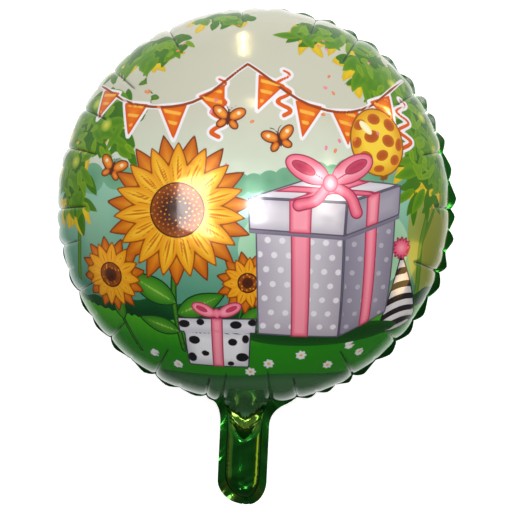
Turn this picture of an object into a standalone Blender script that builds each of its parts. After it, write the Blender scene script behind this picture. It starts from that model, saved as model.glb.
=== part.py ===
"""A round foil balloon, full of gas, lying on its back with its printed side up.

Two sheets of metallised film are sealed together round the rim and down both sides of the neck.
The sealed balloon is full, so each sheet is a solid up to the seam plane between them.
Metres, +Z up. The neck points to -Y, and the origin is the middle of the flat it lies on.
"""

import math

import bmesh
import bpy

# Round body: a disc of film that can't stretch, and what filling it does to it
FLAT_RADIUS = 0.2223         # the empty balloon laid flat, from its middle to the seal
FILLED_SHARE = 0.7627        # the share of that radius which is left when it is full
REST_RADIUS = 0.028          # the flat on the back that keeps it from rolling

# Seal round the rim and the neck
SEAL_WIDTH = 0.0050          # as it shows round the rim, where it curls back a little
NECK_SEAL_WIDTH = 0.0060     # down the neck, where it lies flat
SEAL_THICKNESS = 0.0012      # both sheets together
SHEET_GAP = 0.0003           # between the two solids

# Pillows that the rim gathers into: bearings of the deep creases in degrees, anticlockwise from +X
DEEP_CREASES = (1.8, 18.8, 37.6, 60.9, 74.5, 96.4, 118.8, 139.1, 153.3, 165.5, 183.7,
                194.4, 208.6, 225.1, 241.9, 258.2, 263.2, 277.0, 285.1, 302.8, 318.9, 342.8)
PILLOW_PITCH = 7.0           # degrees, about, where shallow creases part the stretch between deep ones
PILLOW_PROUD = 0.0022        # a pillow's crown beyond the even film
CREASE_DEPTH = 0.0002        # a deep crease at the seam, below the even film
SHALLOW_SHARE = 0.45         # how far a shallow crease goes in, as a share of a deep one
SEAL_PROUD = 0.0008          # the seal's edge at a pillow's crown
SEAL_GATHER = 0.0048         # how far the seal's edge draws in at every crease

# Neck
NECK_WIDTH = 0.0427          # outside, with the seals at both sides
NECK_LENGTH = 0.0905         # from the seam of the round body to the tip
NECK_HEIGHT = 0.0115         # of one half, where it is fullest
TIP_LENGTH = 0.0210          # of the rounded end
TIP_OFFSET = 0.0050          # the tip is this far to the right of the neck's middle
WEB_LENGTH = 0.0210          # sealed webs in the corners between rim and neck
WEB_SPREAD_LEFT = 0.0107
WEB_SPREAD_RIGHT = 0.0234
MOUTH_SPREAD = 0.0060        # how far the filled part of the neck opens out towards the round body
FOLD_DROP = 0.0270           # from the seam of the round body to the fold across the neck
FOLD_HEIGHT = 0.0060         # what the fold leaves of the neck's height
FOLD_LENGTH = 0.0125         # from the fold to where the neck is full
FOLD_BOW = 0.90              # how far the fold's arms run back up, for each step sideways
ROOT_HEIGHT = 0.0235         # neck's height where it leaves the round body

# Facets
PILLOW_COLUMNS = 4
PLEAT_SLOPES = (90.0, 83.0, 75.0, 65.0, 54.0)    # degrees of slope of the film, from the seam up
DOME_SLOPES = (42.0, 30.0, 18.0, 8.0)
STRIPS = 40                  # of the sum that gives the film's height
NECK_COLUMNS = 12
NECK_ROWS = 20
TIP_CROWDING = 0.4
TIP_BLUNTNESS = 0.15         # the last row's width, as a share of the neck's
SHARP_EDGE = 50.0            # degrees
HAIR = 0.0001                # less than this is no distance

SEAM_RADIUS = FLAT_RADIUS * FILLED_SHARE
SEAL_RADIUS = SEAM_RADIUS + SEAL_WIDTH
REST_SLOPE = math.asin((REST_RADIUS / SEAM_RADIUS) ** 2)
NECK_TIP = SEAM_RADIUS + NECK_LENGTH
NECK_FOLD = SEAM_RADIUS + FOLD_DROP
NECK_ROOT = SEAM_RADIUS - WEB_LENGTH


def smooth_step(value):
    """Nought below 0, one above 1, and an even curve between them."""
    value = min(max(value, 0.0), 1.0)
    return value * value * (3.0 - 2.0 * value)


def film_rise(slope):
    """Height above the seam of a full balloon's film, where the film has this slope."""
    step = (math.pi / 2 - slope) / STRIPS
    total = sum(math.sqrt(math.sin(slope + (n + 0.5) * step)) for n in range(STRIPS))
    return 0.5 * SEAM_RADIUS * step * total


def film_radius(slope):
    """Distance from the middle of the film where it has this slope."""
    return SEAM_RADIUS * math.sqrt(math.sin(slope))


SEAM_HEIGHT = film_rise(REST_SLOPE)


def creases():
    """Bearing in degrees and depth share of every crease: the deep ones and those between them."""
    found = []
    for index, bearing in enumerate(DEEP_CREASES):
        following = DEEP_CREASES[(index + 1) % len(DEEP_CREASES)]
        stretch = (following - bearing) % 360.0
        pillows = max(1, round(stretch / PILLOW_PITCH))
        found.append((bearing, 1.0))
        found += [(bearing + stretch * n / pillows, SHALLOW_SHARE) for n in range(1, pillows)]
    return found


CREASES = creases()
COLUMNS = PILLOW_COLUMNS * len(CREASES)


def column_bearing(column):
    """Bearing of a column of the turned mesh, in radians, with each pillow's columns spread evenly."""
    pillow, part = divmod(column, PILLOW_COLUMNS)
    start = CREASES[pillow][0]
    end = CREASES[(pillow + 1) % len(CREASES)][0]
    return math.radians(start + ((end - start) % 360.0) * part / PILLOW_COLUMNS)


def column_pinch(column):
    """How near a column is to a crease, from 0 on a crown to 1 in the crease, and its depth share."""
    pillow, part = divmod(column, PILLOW_COLUMNS)
    across = 2.0 * part / PILLOW_COLUMNS - 1.0
    crease = CREASES[pillow if across < 0.0 else (pillow + 1) % len(CREASES)]
    return abs(across) ** 3, crease[1]


def clear_of_neck(bearing, spread):
    """Nought where the neck opens out of the rim, to this far beyond its sides, and one elsewhere."""
    opening = math.atan2(0.5 * NECK_WIDTH + spread, SEAM_RADIUS)
    away = abs((bearing - 0.5 * math.pi) % (2.0 * math.pi) - math.pi)
    return smooth_step((away / opening - 0.85) / 0.3)


def half_profile():
    """Radius and height above the seam plane along one half: from pole to seal and back to the axis."""
    slopes = [REST_SLOPE] + [math.radians(s) for s in reversed(PLEAT_SLOPES + DOME_SLOPES)]
    slopes.sort()
    seal_top = 0.5 * SEAL_THICKNESS
    seal_foot = 0.5 * SHEET_GAP
    points = [(0.0, SEAM_HEIGHT)]
    points += [(film_radius(slope), max(film_rise(slope), seal_top)) for slope in slopes]
    points += [(SEAL_RADIUS, seal_top), (SEAL_RADIUS, seal_foot), (0.0, seal_foot)]
    return points


def turned_half(side):
    """The even round half as a bmesh, from a profile that is turned about Z. side is 1 or -1."""
    points = half_profile()
    if side < 0:
        points = [(radius, -height) for radius, height in reversed(points)]
    mesh = bpy.data.meshes.new("profile")
    mesh.from_pydata([(radius, 0.0, height) for radius, height in points],
                     [(n, n + 1) for n in range(len(points) - 1)], [])
    profile = bpy.data.objects.new("profile", mesh)
    bpy.context.scene.collection.objects.link(profile)
    turn = profile.modifiers.new("Turn", "SCREW")
    turn.steps = COLUMNS
    turn.render_steps = COLUMNS
    turn.use_merge_vertices = True
    turn.merge_threshold = 0.00001
    bpy.context.view_layer.update()
    graph = bpy.context.evaluated_depsgraph_get()
    bm = bmesh.new()
    bm.from_object(profile, graph)
    bpy.data.objects.remove(profile)
    return bm


def column_of(vertex):
    """Which column of the turned mesh a vertex is on."""
    turn = math.atan2(vertex.co.y, vertex.co.x) / (2.0 * math.pi)
    return round(turn * COLUMNS) % COLUMNS


def clear_dome(bm):
    """Above the creases, keep only the lines of facets that run on from each crease."""
    top = film_radius(math.radians(PLEAT_SLOPES[-1])) + HAIR
    spare = []
    for edge in bm.edges:
        spots = [(math.hypot(v.co.x, v.co.y), v) for v in edge.verts]
        spots.sort(key=lambda spot: spot[0])
        inner, outer = spots
        runs_out = outer[0] - inner[0] > HAIR
        if runs_out and outer[0] < top and column_of(outer[1]) % PILLOW_COLUMNS:
            spare.append(edge)
    bmesh.ops.dissolve_edges(bm, edges=spare, use_verts=True)


def gather(bm, side):
    """Move the even half's points to their pillows: creases pressed in, crowns proud, seal drawn in."""
    fade_slope = math.radians(PLEAT_SLOPES[-1])
    for vertex in bm.verts:
        radius = math.hypot(vertex.co.x, vertex.co.y)
        if radius < HAIR:
            continue
        column = column_of(vertex)
        bearing = column_bearing(column)
        pinch, depth_share = column_pinch(column)
        if radius > SEAM_RADIUS + HAIR:
            spread = WEB_SPREAD_RIGHT if math.cos(bearing) > 0.0 else WEB_SPREAD_LEFT
            calm = clear_of_neck(bearing, spread)
            radius += calm * (SEAL_PROUD - SEAL_GATHER * pinch) - 0.5 * (1.0 - calm) * SEAL_WIDTH
        else:
            slope = math.asin(min(1.0, (radius / SEAM_RADIUS) ** 2))
            share = smooth_step((slope - fade_slope) / (math.pi / 2 - fade_slope))
            share *= clear_of_neck(bearing, 0.0)
            push = share * (PILLOW_PROUD - (PILLOW_PROUD + CREASE_DEPTH) * pinch * depth_share)
            if radius < SEAM_RADIUS - HAIR:
                vertex.co.z += side * push * math.cos(slope)
            radius += push * math.sin(slope)
        vertex.co.x = radius * math.cos(bearing)
        vertex.co.y = radius * math.sin(bearing)


def rounded_end(reach, tip):
    """Share of the full width that is left at this reach, when the end is round and ends at tip."""
    share = min(max((reach - (tip - TIP_LENGTH)) / TIP_LENGTH, 0.0), 1.0)
    return math.sqrt(1.0 - (1.0 - TIP_BLUNTNESS ** 2) * share ** 2)


def web_share(reach):
    """One at the seam of the round body, falling in a hollow curve to nought where the web ends."""
    back = min(max((SEAM_RADIUS + WEB_LENGTH - reach) / WEB_LENGTH, 0.0), 1.0)
    return 1.0 - math.sqrt(1.0 - back ** 2)


def neck_sides(reach, margin):
    """The neck's left and right edge at this distance from the round body's middle.

    margin 0 gives the seal's outer edge, margin NECK_SEAL_WIDTH the edge of the filled part.
    """
    half = 0.5 * NECK_WIDTH - margin
    full = rounded_end(reach, NECK_TIP - margin)
    web = web_share(reach)
    spread_left, spread_right = (WEB_SPREAD_LEFT, WEB_SPREAD_RIGHT) if margin == 0.0 else (MOUTH_SPREAD,) * 2
    left = TIP_OFFSET - (half + TIP_OFFSET) * full - web * spread_left
    right = TIP_OFFSET + (half - TIP_OFFSET) * full + web * spread_right
    return left, right


def neck_height(reach):
    """Height of the neck's crown above the seam plane at this distance from the middle."""
    if reach < NECK_FOLD:
        back = (NECK_FOLD - max(reach, SEAM_RADIUS)) / FOLD_DROP
        return FOLD_HEIGHT + (ROOT_HEIGHT - FOLD_HEIGHT) * back ** 2
    filled = FOLD_HEIGHT + (NECK_HEIGHT - FOLD_HEIGHT) * smooth_step((reach - NECK_FOLD) / FOLD_LENGTH)
    closing = min(max((reach - (NECK_TIP - NECK_SEAL_WIDTH - TIP_LENGTH)) / TIP_LENGTH, 0.0), 1.0)
    return filled * math.sqrt(1.0 - closing ** 2)


def neck_point(column, row):
    """Where a point of the neck's grid lies, as x, y and height above the seam plane."""
    share = row / NECK_ROWS
    share += TIP_CROWDING * share * (1.0 - share)
    reach = NECK_ROOT + (NECK_TIP - NECK_ROOT) * share
    across = min(max((column - 1) / (NECK_COLUMNS - 2), 0.0), 1.0)
    spot = -math.cos(math.pi * across)
    bow = FOLD_BOW * smooth_step((reach - SEAM_RADIUS) / FOLD_DROP)
    bow *= 1.0 - smooth_step((reach - NECK_FOLD) / (2.0 * FOLD_LENGTH))
    away = reach - bow * abs(spot) * (0.5 * NECK_WIDTH - NECK_SEAL_WIDTH)
    left, right = neck_sides(away, 0.0)
    if column in (0, NECK_COLUMNS):
        return (right if column else left), -away, 0.5 * SEAL_THICKNESS
    inner_left, inner_right = neck_sides(away, NECK_SEAL_WIDTH)
    inner_left = min(inner_left, 0.75 * left + 0.25 * right)
    inner_right = max(inner_right, 0.25 * left + 0.75 * right)
    x = 0.5 * (inner_left + inner_right) + 0.5 * (inner_right - inner_left) * spot
    height = neck_height(reach) * math.sin(math.pi * across)
    return x, -away, max(height, 0.5 * SEAL_THICKNESS)


def neck_half(name, side):
    """One half of the neck, as a solid that reaches into the round body."""
    bm = bmesh.new()
    bmesh.ops.create_grid(bm, x_segments=NECK_COLUMNS, y_segments=NECK_ROWS, size=1.0)
    for vertex in bm.verts:
        column = round((vertex.co.x + 1.0) / 2.0 * NECK_COLUMNS)
        row = round((1.0 - vertex.co.y) / 2.0 * NECK_ROWS)
        x, y, height = neck_point(column, row)
        vertex.co = (x, y, side * height)
    rim = [edge for edge in bm.edges if edge.is_boundary]
    wall = bmesh.ops.extrude_edge_only(bm, edges=rim)["geom"]
    for vertex in (item for item in wall if isinstance(item, bmesh.types.BMVert)):
        vertex.co.z = side * 0.5 * SHEET_GAP
    foot = [edge for edge in bm.edges if edge.is_boundary]
    bmesh.ops.holes_fill(bm, edges=foot, sides=0)
    bmesh.ops.recalc_face_normals(bm, faces=bm.faces)
    return mesh_object(name, bm)


def mesh_object(name, bm):
    """An object made of a bmesh, which is freed, raised so that the balloon lies on its flat."""
    bmesh.ops.translate(bm, vec=(0.0, 0.0, SEAM_HEIGHT), verts=bm.verts)
    mesh = bpy.data.meshes.new(name)
    bm.to_mesh(mesh)
    bm.free()
    mesh.shade_smooth()
    mesh.set_sharp_from_angle(angle=math.radians(SHARP_EDGE))
    return bpy.data.objects.new(name, mesh)


def film_material(name, colour, roughness, metallic):
    """A glossy film finish."""
    material = bpy.data.materials.new(name)
    material.use_nodes = True
    shader = material.node_tree.nodes["Principled BSDF"]
    shader.inputs["Base Color"].default_value = (*colour, 1.0)
    shader.inputs["Roughness"].default_value = roughness
    shader.inputs["Metallic"].default_value = metallic
    material.diffuse_color = (*colour, 1.0)
    return material


def foil_sheet(name, side, material, parts, guides):
    """One sheet of the balloon: its round half, with its half of the neck joined on."""
    bm = turned_half(side)
    clear_dome(bm)
    gather(bm, side)
    sheet = mesh_object(name, bm)
    sheet.data.materials.append(material)
    parts.objects.link(sheet)
    neck = neck_half(name + "_neck", side)
    neck.data.materials.append(material)
    neck.hide_render = True
    neck.display_type = "WIRE"
    guides.objects.link(neck)
    join = sheet.modifiers.new("Neck", "BOOLEAN")
    join.operation = "UNION"
    join.object = neck
    join.solver = "EXACT"


def main():
    """Build the balloon in an empty scene."""
    for item in list(bpy.data.objects):
        bpy.data.objects.remove(item)
    parts = bpy.data.collections.new("foil_balloon")
    guides = bpy.data.collections.new("cutters")
    bpy.context.scene.collection.children.link(parts)
    bpy.context.scene.collection.children.link(guides)
    printed = film_material("printed_film", (0.22, 0.42, 0.12), 0.22, 0.45)
    plain = film_material("green_film", (0.01, 0.16, 0.02), 0.18, 1.0)
    foil_sheet("front_foil", 1, printed, parts, guides)
    foil_sheet("back_foil", -1, plain, parts, guides)


main()
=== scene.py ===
"""Looks of a round foil balloon that lies on its back, full of gas, with its printed side up.

Two sheets of metallised film are sealed together at a puckered rim and down the sides of a flat
neck. Each sheet is modelled whole, in metres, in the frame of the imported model.
"""

import logging
import math
from dataclasses import dataclass, field
from enum import Enum

import bpy
import numpy as np
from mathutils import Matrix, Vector
from mathutils.kdtree import KDTree


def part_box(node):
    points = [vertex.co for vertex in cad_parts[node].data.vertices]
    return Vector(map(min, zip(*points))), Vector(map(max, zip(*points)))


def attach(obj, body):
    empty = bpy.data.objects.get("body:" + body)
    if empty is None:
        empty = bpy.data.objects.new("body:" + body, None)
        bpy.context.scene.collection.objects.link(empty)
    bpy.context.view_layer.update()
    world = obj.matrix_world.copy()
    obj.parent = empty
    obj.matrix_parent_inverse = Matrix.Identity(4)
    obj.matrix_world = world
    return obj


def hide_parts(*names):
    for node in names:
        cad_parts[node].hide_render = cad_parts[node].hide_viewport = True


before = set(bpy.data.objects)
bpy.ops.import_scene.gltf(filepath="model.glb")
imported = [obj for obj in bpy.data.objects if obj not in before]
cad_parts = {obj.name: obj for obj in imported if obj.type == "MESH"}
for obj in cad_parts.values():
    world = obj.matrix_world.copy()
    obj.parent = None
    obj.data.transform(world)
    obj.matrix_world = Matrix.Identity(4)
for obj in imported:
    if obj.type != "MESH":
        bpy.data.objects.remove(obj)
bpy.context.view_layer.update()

log = logging.getLogger("foil_balloon")

Colour = tuple[float, float, float]
Span = tuple[float, float]
Points = list[Span] | tuple[Span, ...]
Array = np.ndarray
Item = bpy.types.Object
Finish = bpy.types.Material
Tree = bpy.types.NodeTree
Socket = bpy.types.NodeSocket
Given = Socket | float | tuple[float, ...]
MM = 0.001
MERGE = 0.000002
PRINT_TURN = 2.7
NOISE_RANGE = (0.3, 0.7)
COAT_ROUGHNESS = 0.05


class Side(Enum):
    """Which sheet a piece is. The value is the way that it bulges along Z."""

    FRONT = 1
    BACK = -1


def smooth(value: Array | float) -> Array:
    """Nought below 0, one above 1, and an even curve between them."""
    value = np.clip(value, 0.0, 1.0)
    return value * value * (3.0 - 2.0 * value)


def climb(value: Array, start: Array | float, length: Array | float) -> Array:
    """Nought up to the start, one from this length past it, and an even curve between them."""
    return smooth((value - start) / length)


def bell(value: Array, width: float) -> Array:
    """One where the value is 0, falling away over this width on both sides."""
    return np.exp(-(value / width) ** 2)


def arched(spot: Array) -> Array:
    """Height of a round arch at each spot across it, from -1 to 1."""
    return np.sqrt(np.maximum(1.0 - spot ** 2, 0.0))


@dataclass(frozen=True)
class Ripple:
    """A soft, uneven surface, as a sum of waves in several directions. Its seed says which one it is."""

    height: float
    length: float
    seed: int
    squash: Span = (1.0, 1.0)
    waves: int = 9
    stretches: Span = (0.7, 1.5)

    def at(self, x: Array, y: Array) -> Array:
        """The surface's height at each place.

        Args:
            x: Places along X, in the unit of the ripple's length.
            y: Places along Y.

        Returns:
            Heights, mostly within the ripple's own height above and below 0.
        """
        draw = np.random.default_rng(self.seed)
        wide, long = self.squash
        total = np.zeros_like(x)
        for _ in range(self.waves):
            heading, phase = draw.uniform(0.0, math.pi), draw.uniform(0.0, 2.0 * math.pi)
            turn = 2.0 * math.pi / (self.length * draw.uniform(*self.stretches))
            total += np.sin(turn * (wide * x * math.cos(heading) + long * y * math.sin(heading)) + phase)
        return self.height * (total / math.sqrt(2.0 * self.waves))


@dataclass
class Film:
    """The curve that the film of a full round balloon takes. It bends, but it can't stretch."""

    flat_radius: float = 0.2223
    filled_share: float = 0.7627
    entries: int = 4001

    def __post_init__(self) -> None:
        """Work out slope, arc and rise along the film, from its middle to the seam."""
        self.seam_radius = self.flat_radius * self.filled_share
        root = np.linspace(0.0, math.sqrt(0.5 * math.pi), self.entries)
        self.slopes = root ** 2
        sine = np.sqrt(np.sin(self.slopes))
        growth = np.full_like(root, 2.0)
        growth[1:] = 2.0 * root[1:] / sine[1:]
        self.arcs = 0.5 * self.seam_radius * self.running_sum(root, growth)
        fall = 0.5 * self.seam_radius * self.running_sum(root, 2.0 * root * sine)
        self.rises = fall[-1] - fall
        self.arcs *= self.flat_radius / self.arcs[-1]

    @staticmethod
    def running_sum(places: Array, values: Array) -> Array:
        """The integral of the values up to each place."""
        parts = 0.5 * (values[1:] + values[:-1]) * np.diff(places)
        return np.concatenate(([0.0], np.cumsum(parts)))

    def slope(self, arc: Array) -> Array:
        """Slope of the film, in radians, at this distance along it from its middle."""
        return np.interp(arc, self.arcs, self.slopes)

    def arc(self, slope: Array | float) -> Array:
        """Distance along the film from its middle to where it has this slope."""
        return np.interp(slope, self.slopes, self.arcs)

    def radius(self, slope: Array | float) -> Array:
        """Distance from the axis where the film has this slope."""
        return self.seam_radius * np.sqrt(np.sin(slope))

    def rise(self, slope: Array | float) -> Array:
        """Height above the seam where the film has this slope."""
        return np.interp(slope, self.slopes, self.rises)


@dataclass
class Rim:
    """The pillows that the rim gathers into, as columns of points round the sheets.

    Bearings are degrees from +X, and a crease runs in from the seam to where the film has the slope
    of its run, in degrees. A column's spot is its place across its pillow, from -1 to 1.
    """

    deep_creases: tuple[float, ...] = (1.8, 18.8, 37.6, 60.9, 74.5, 96.4, 118.8, 139.1, 153.3, 165.5, 183.7,
                                       194.4, 208.6, 225.1, 241.9, 258.2, 263.2, 277.0, 285.1, 302.8, 318.9,
                                       342.8)
    mouth: Span = (263.2, 277.0)
    pillow_pitch: float = 7.0
    pillow_columns: int = 10
    mouth_columns: int = 48
    shallow_share: float = 0.45
    deep_run: float = 47.0
    shallow_run: float = 72.0
    run_spread: float = 7.0
    run_seed: int = 5
    pillow_seed: int = 11

    def __post_init__(self) -> None:
        """List every column's bearing and what its nearest crease is like."""
        draw = np.random.default_rng(self.run_seed)
        creases = self.creases()
        runs = [self.deep_run if share == 1.0 else self.shallow_run for _, share in creases]
        runs = [run + draw.uniform(-self.run_spread, self.run_spread) for run in runs]
        rows = []
        for index, (start, share) in enumerate(creases):
            following = (index + 1) % len(creases)
            end, end_share = creases[following]
            width = (end - start) % 360.0
            at_mouth = start == self.mouth[0]
            parts = self.mouth_columns if at_mouth else self.pillow_columns
            for part in range(parts):
                spot = -math.cos(math.pi * part / parts)
                near = index if spot < 0.0 else following
                edge = abs(spot) ** 3 if at_mouth else abs(spot)
                gap = 0.5 * (1.0 - abs(spot)) * math.radians(width)
                rows.append((start + 0.5 * width * (1.0 + spot), spot, edge,
                             share if spot < 0.0 else end_share, runs[near], gap, at_mouth, index))
        table = np.array(rows, dtype=float)
        self.bearing = np.radians(table[:, 0])
        self.spot, self.edge, self.share = table[:, 1], table[:, 2], table[:, 3]
        self.run, self.gap = np.radians(table[:, 4]), table[:, 5]
        self.at_mouth, self.pillow = table[:, 6] > 0.5, table[:, 7].astype(int)
        self.columns = len(table)
        self.first = int(np.argmax(self.at_mouth))
        self.pillow_draw = np.random.default_rng(self.pillow_seed).uniform(-1.0, 1.0, (len(creases), 4))

    def creases(self) -> list[Span]:
        """List the creases: the deep ones, and the shallow ones between them.

        Returns:
            Bearing in degrees and share of the full depth of each crease.
        """
        found = []
        for index, bearing in enumerate(self.deep_creases):
            following = self.deep_creases[(index + 1) % len(self.deep_creases)]
            stretch = (following - bearing) % 360.0
            pillows = 1 if bearing == self.mouth[0] else max(1, round(stretch / self.pillow_pitch))
            found.append((bearing, 1.0))
            found += [(bearing + stretch * n / pillows, self.shallow_share) for n in range(1, pillows)]
        return found


@dataclass
class Neck:
    """Sizes and shape of the filling neck, of one half, above the seam plane.

    A drop is a distance from the seam towards the tip.
    """

    width: float = 0.0427
    length: float = 0.0905
    seal_width: float = 0.0060
    full_height: float = 0.0115
    tip_length: float = 0.0210
    tip_offset: float = 0.0050
    tip_bluntness: float = 0.15
    tip_crowding: float = 0.4
    web_length: float = 0.0210
    web_spread: Span = (0.0107, 0.0234)
    web_turn: float = 0.70
    web_overlap: float = 1.04
    web_blend: float = 0.35
    mouth_spread: float = 0.0060
    mouth_blend: float = 0.010
    fold_drop: float = 0.0270
    fold_height: float = 0.0060
    fold_length: float = 0.0090
    fold_bow: float = 0.90
    fold_softness: float = 0.1
    closing_length: float = 0.0090
    closing_share: float = 0.97
    shelf_drop: float = 0.0170
    shelf_height: float = 0.0043
    shelf_slope: float = 0.05
    shelf_bend: Span = (0.3, 0.7)
    leave_slope: float = 60.0
    rows: int = 96

    def rounded_end(self, reach: Array, tip: float) -> Array:
        """Share of the full width that is left at this reach, when the end is round and ends at tip."""
        share = np.clip((reach - (tip - self.tip_length)) / self.tip_length, 0.0, 1.0)
        return np.sqrt(1.0 - (1.0 - self.tip_bluntness ** 2) * share ** 2)

    def sides(self, reach: Array, margin: float, film: Film) -> tuple[Array, Array]:
        """The left and right edge at this distance from the balloon's middle.

        Args:
            reach: Distances from the balloon's middle.
            margin: 0 for the seal's outer edge, the seal's width for the edge of the filled part.
            film: The film's curve, which gives the place of the seam.

        Returns:
            X of the left edge and of the right edge.
        """
        half = 0.5 * self.width - margin
        full = self.rounded_end(reach, film.seam_radius + self.length - margin)
        back = np.clip((film.seam_radius + self.web_length - reach) / self.web_length, 0.0, 1.0)
        web = 1.0 - np.sqrt(1.0 - back ** 2)
        spreads = self.web_spread if margin == 0.0 else (self.mouth_spread, self.mouth_spread)
        left = self.tip_offset - (half + self.tip_offset) * full - web * spreads[0]
        right = self.tip_offset + (half - self.tip_offset) * full + web * spreads[1]
        return left, right

    def slide(self, radius: Array, film: Film) -> Array:
        """Height of the middle of the film where it leaves the round body and runs down to the fold.

        Args:
            radius: Distances from the balloon's middle.
            film: The film's curve, which the slide leaves.

        Returns:
            Heights above the seam plane, on a cubic through the height and the slope of both ends.
        """
        leave = math.radians(self.leave_slope)
        start, end = float(film.radius(leave)), film.seam_radius + self.shelf_drop
        way = np.clip((radius - start) / (end - start), 0.0, 1.0)
        top, bottom = float(film.rise(leave)), self.shelf_height
        steep, level = -math.tan(leave) * (end - start), self.shelf_slope * (end - start)
        return (top * (2 * way ** 3 - 3 * way ** 2 + 1) + steep * (way ** 3 - 2 * way ** 2 + way)
                + bottom * (3 * way ** 2 - 2 * way ** 3) + level * (way ** 3 - way ** 2))

    def height(self, reach: Array, film: Film) -> Array:
        """Height of the neck's crown.

        Args:
            reach: Distances from the balloon's middle.
            film: The film's curve, which gives the place of the seam.

        Returns:
            Heights above the seam plane: the shelf's down to the fold, and the filled part's below it.
        """
        fold, end = film.seam_radius + self.fold_drop, film.seam_radius + self.length - self.seal_width
        filled = climb(reach, fold, self.fold_length)
        filled = self.fold_height + (self.full_height - self.fold_height) * filled
        closing = np.clip((reach - (end - self.closing_length)) / self.closing_length, 0.0, 1.0)
        filled = filled * np.sqrt(1.0 - self.closing_share * closing ** 2)
        shelf = film.seam_radius + self.shelf_drop
        way = np.clip((reach - shelf) / (self.fold_drop - self.shelf_drop), 0.0, 1.0)
        bent = self.shelf_bend[0] * way + self.shelf_bend[1] * way ** 2
        shelf = self.slide(reach, film) + (self.fold_height - self.shelf_height) * bent
        return np.where(reach < fold, shelf, filled)


@dataclass(frozen=True)
class Crumples:
    """What stands above and below the neck's even shape: folds, ridges, pleats and crinkles.

    A drop is a distance from the seam towards the tip, a spot is a place across the neck from -1 to 1,
    and a pair is where something starts and over what length it comes in or goes out.
    """

    groove_depth: float = 0.0013
    groove_drop: float = 0.0009
    groove_width: float = 0.0008
    valley_depth: float = 0.0022
    valley_width: float = 0.16
    valley_end: Span = (0.010, 0.005)
    ridge_height: float = 0.0026
    ridge_spot: float = 0.86
    ridge_width: float = 0.085
    ridge_start: Span = (0.0, 0.004)
    ridge_end: Span = (0.017, 0.006)
    ridge_low: float = 0.3
    pleat_spots: Span = (0.62, 0.15)
    gather_in: Span = (0.55, 0.4)
    gather_out: Span = (0.93, 0.07)
    soft_start: float = 0.006
    tip_start: Span = (0.022, 0.010)
    welt_height: float = 0.00085
    welt_place: float = 0.0050
    welt_lean: float = 0.30
    welt_width: float = 0.0042
    welt_start: Span = (-0.008, 0.005)
    soft: Ripple = Ripple(0.00034, 0.018, 21)
    gathers: Ripple = Ripple(0.00022, 0.0045, 22, (0.35, 1.0))
    crinkles: Ripple = Ripple(0.00036, 0.0070, 23, (1.0, 0.8))
    pleats: Ripple = Ripple(0.00026, 0.0046, 24, (1.0, 0.6))
    lumps: Ripple = Ripple(0.45, 0.0045, 25)

    def dip(self, spot: Array) -> Array:
        """Depth at each spot of the valley down the middle of the neck's mouth."""
        return self.valley_depth * bell(spot, self.valley_width)

    def relief(self, x: Array, y: Array, drop: Array, spot: Array,
               neck: Neck) -> Array:
        """How far the neck's film stands above or below its even shape.

        Args:
            x: Places across the neck.
            y: Places along the neck.
            drop: Distances from the seam towards the tip.
            spot: Places across the neck, from -1 at its left edge to 1 at its right edge.
            neck: The neck's sizes.

        Returns:
            A height for each place.
        """
        arch, across, past_fold = arched(spot), np.abs(spot), drop - neck.fold_drop
        end = neck.length - neck.seal_width
        groove = -self.groove_depth * bell(past_fold - self.groove_drop, self.groove_width) * arch
        valley = -self.dip(spot) * (1.0 - climb(drop, *self.valley_end))
        soft = self.soft.at(x, y) * climb(past_fold, 0.0, self.soft_start) * arch
        span = climb(drop, *self.ridge_start) * (1.0 - climb(drop, *self.ridge_end))
        rise = self.ridge_low + (1.0 - self.ridge_low) * np.clip(drop / self.ridge_end[0], 0.0, 1.0)
        ridge = self.ridge_height * bell(across - self.ridge_spot, self.ridge_width) * span * rise
        pleats = self.pleats.at(x, y) * climb(across, *self.pleat_spots) * span
        edge = climb(across, *self.gather_in) * (1.0 - climb(across, *self.gather_out))
        gathers = self.gathers.at(x, y) * edge * climb(drop, 0.0, self.soft_start)
        crinkles = self.crinkles.at(x, y) * climb(drop, end - self.tip_start[0], self.tip_start[1]) * arch
        welt = bell(drop + self.welt_lean * x - (end - self.welt_place), self.welt_width)
        welt *= self.welt_height * climb(x, *self.welt_start) * arch * (1.0 + self.lumps.at(x, y))
        return groove + valley + soft + gathers + crinkles + welt + ridge + pleats


@dataclass(frozen=True)
class PaintedWarmSheen:
    """Where the neck is painted yellow as a warm sheen that stands in for warm reflections: a start and a
    length for each edge.
    """

    fold_lean: float = 0.3
    fold_edge: float = 0.0020
    above_out: Span = (0.0115, 0.0025)
    flank_in: Span = (0.0088, 0.0030)
    flank_out: Span = (0.0136, 0.0015)
    flank_start: float = 0.006
    flank_share: float = 0.7
    corner_start: Span = (0.012, 0.004)
    corner_out: Span = (-0.006, 0.008)

    def shares(self, placed: Array, neck: Neck, film: Film) -> Array:
        """How much painted warm sheen the film has: all of it above the fold, some by the folded corner.

        Args:
            placed: The neck's points.
            neck: The neck's sizes.
            film: The film's curve, which gives the place of the seam.

        Returns:
            A share from 0 to 1 for each point.
        """
        x, drop = placed[:, 0], -placed[:, 1] - film.seam_radius
        across = np.abs(x)
        above = 1.0 - climb(drop + self.fold_lean * across, neck.fold_drop, self.fold_edge)
        above *= 1.0 - climb(across, *self.above_out)
        flank = self.flank_share * climb(across, *self.flank_in) * (1.0 - climb(across, *self.flank_out))
        flank *= climb(drop, neck.fold_drop, self.flank_start)
        corner = climb(drop, neck.length - self.corner_start[0], self.corner_start[1])
        corner *= 1.0 - climb(x, *self.corner_out)
        return np.maximum.reduce((above, flank, corner))


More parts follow.
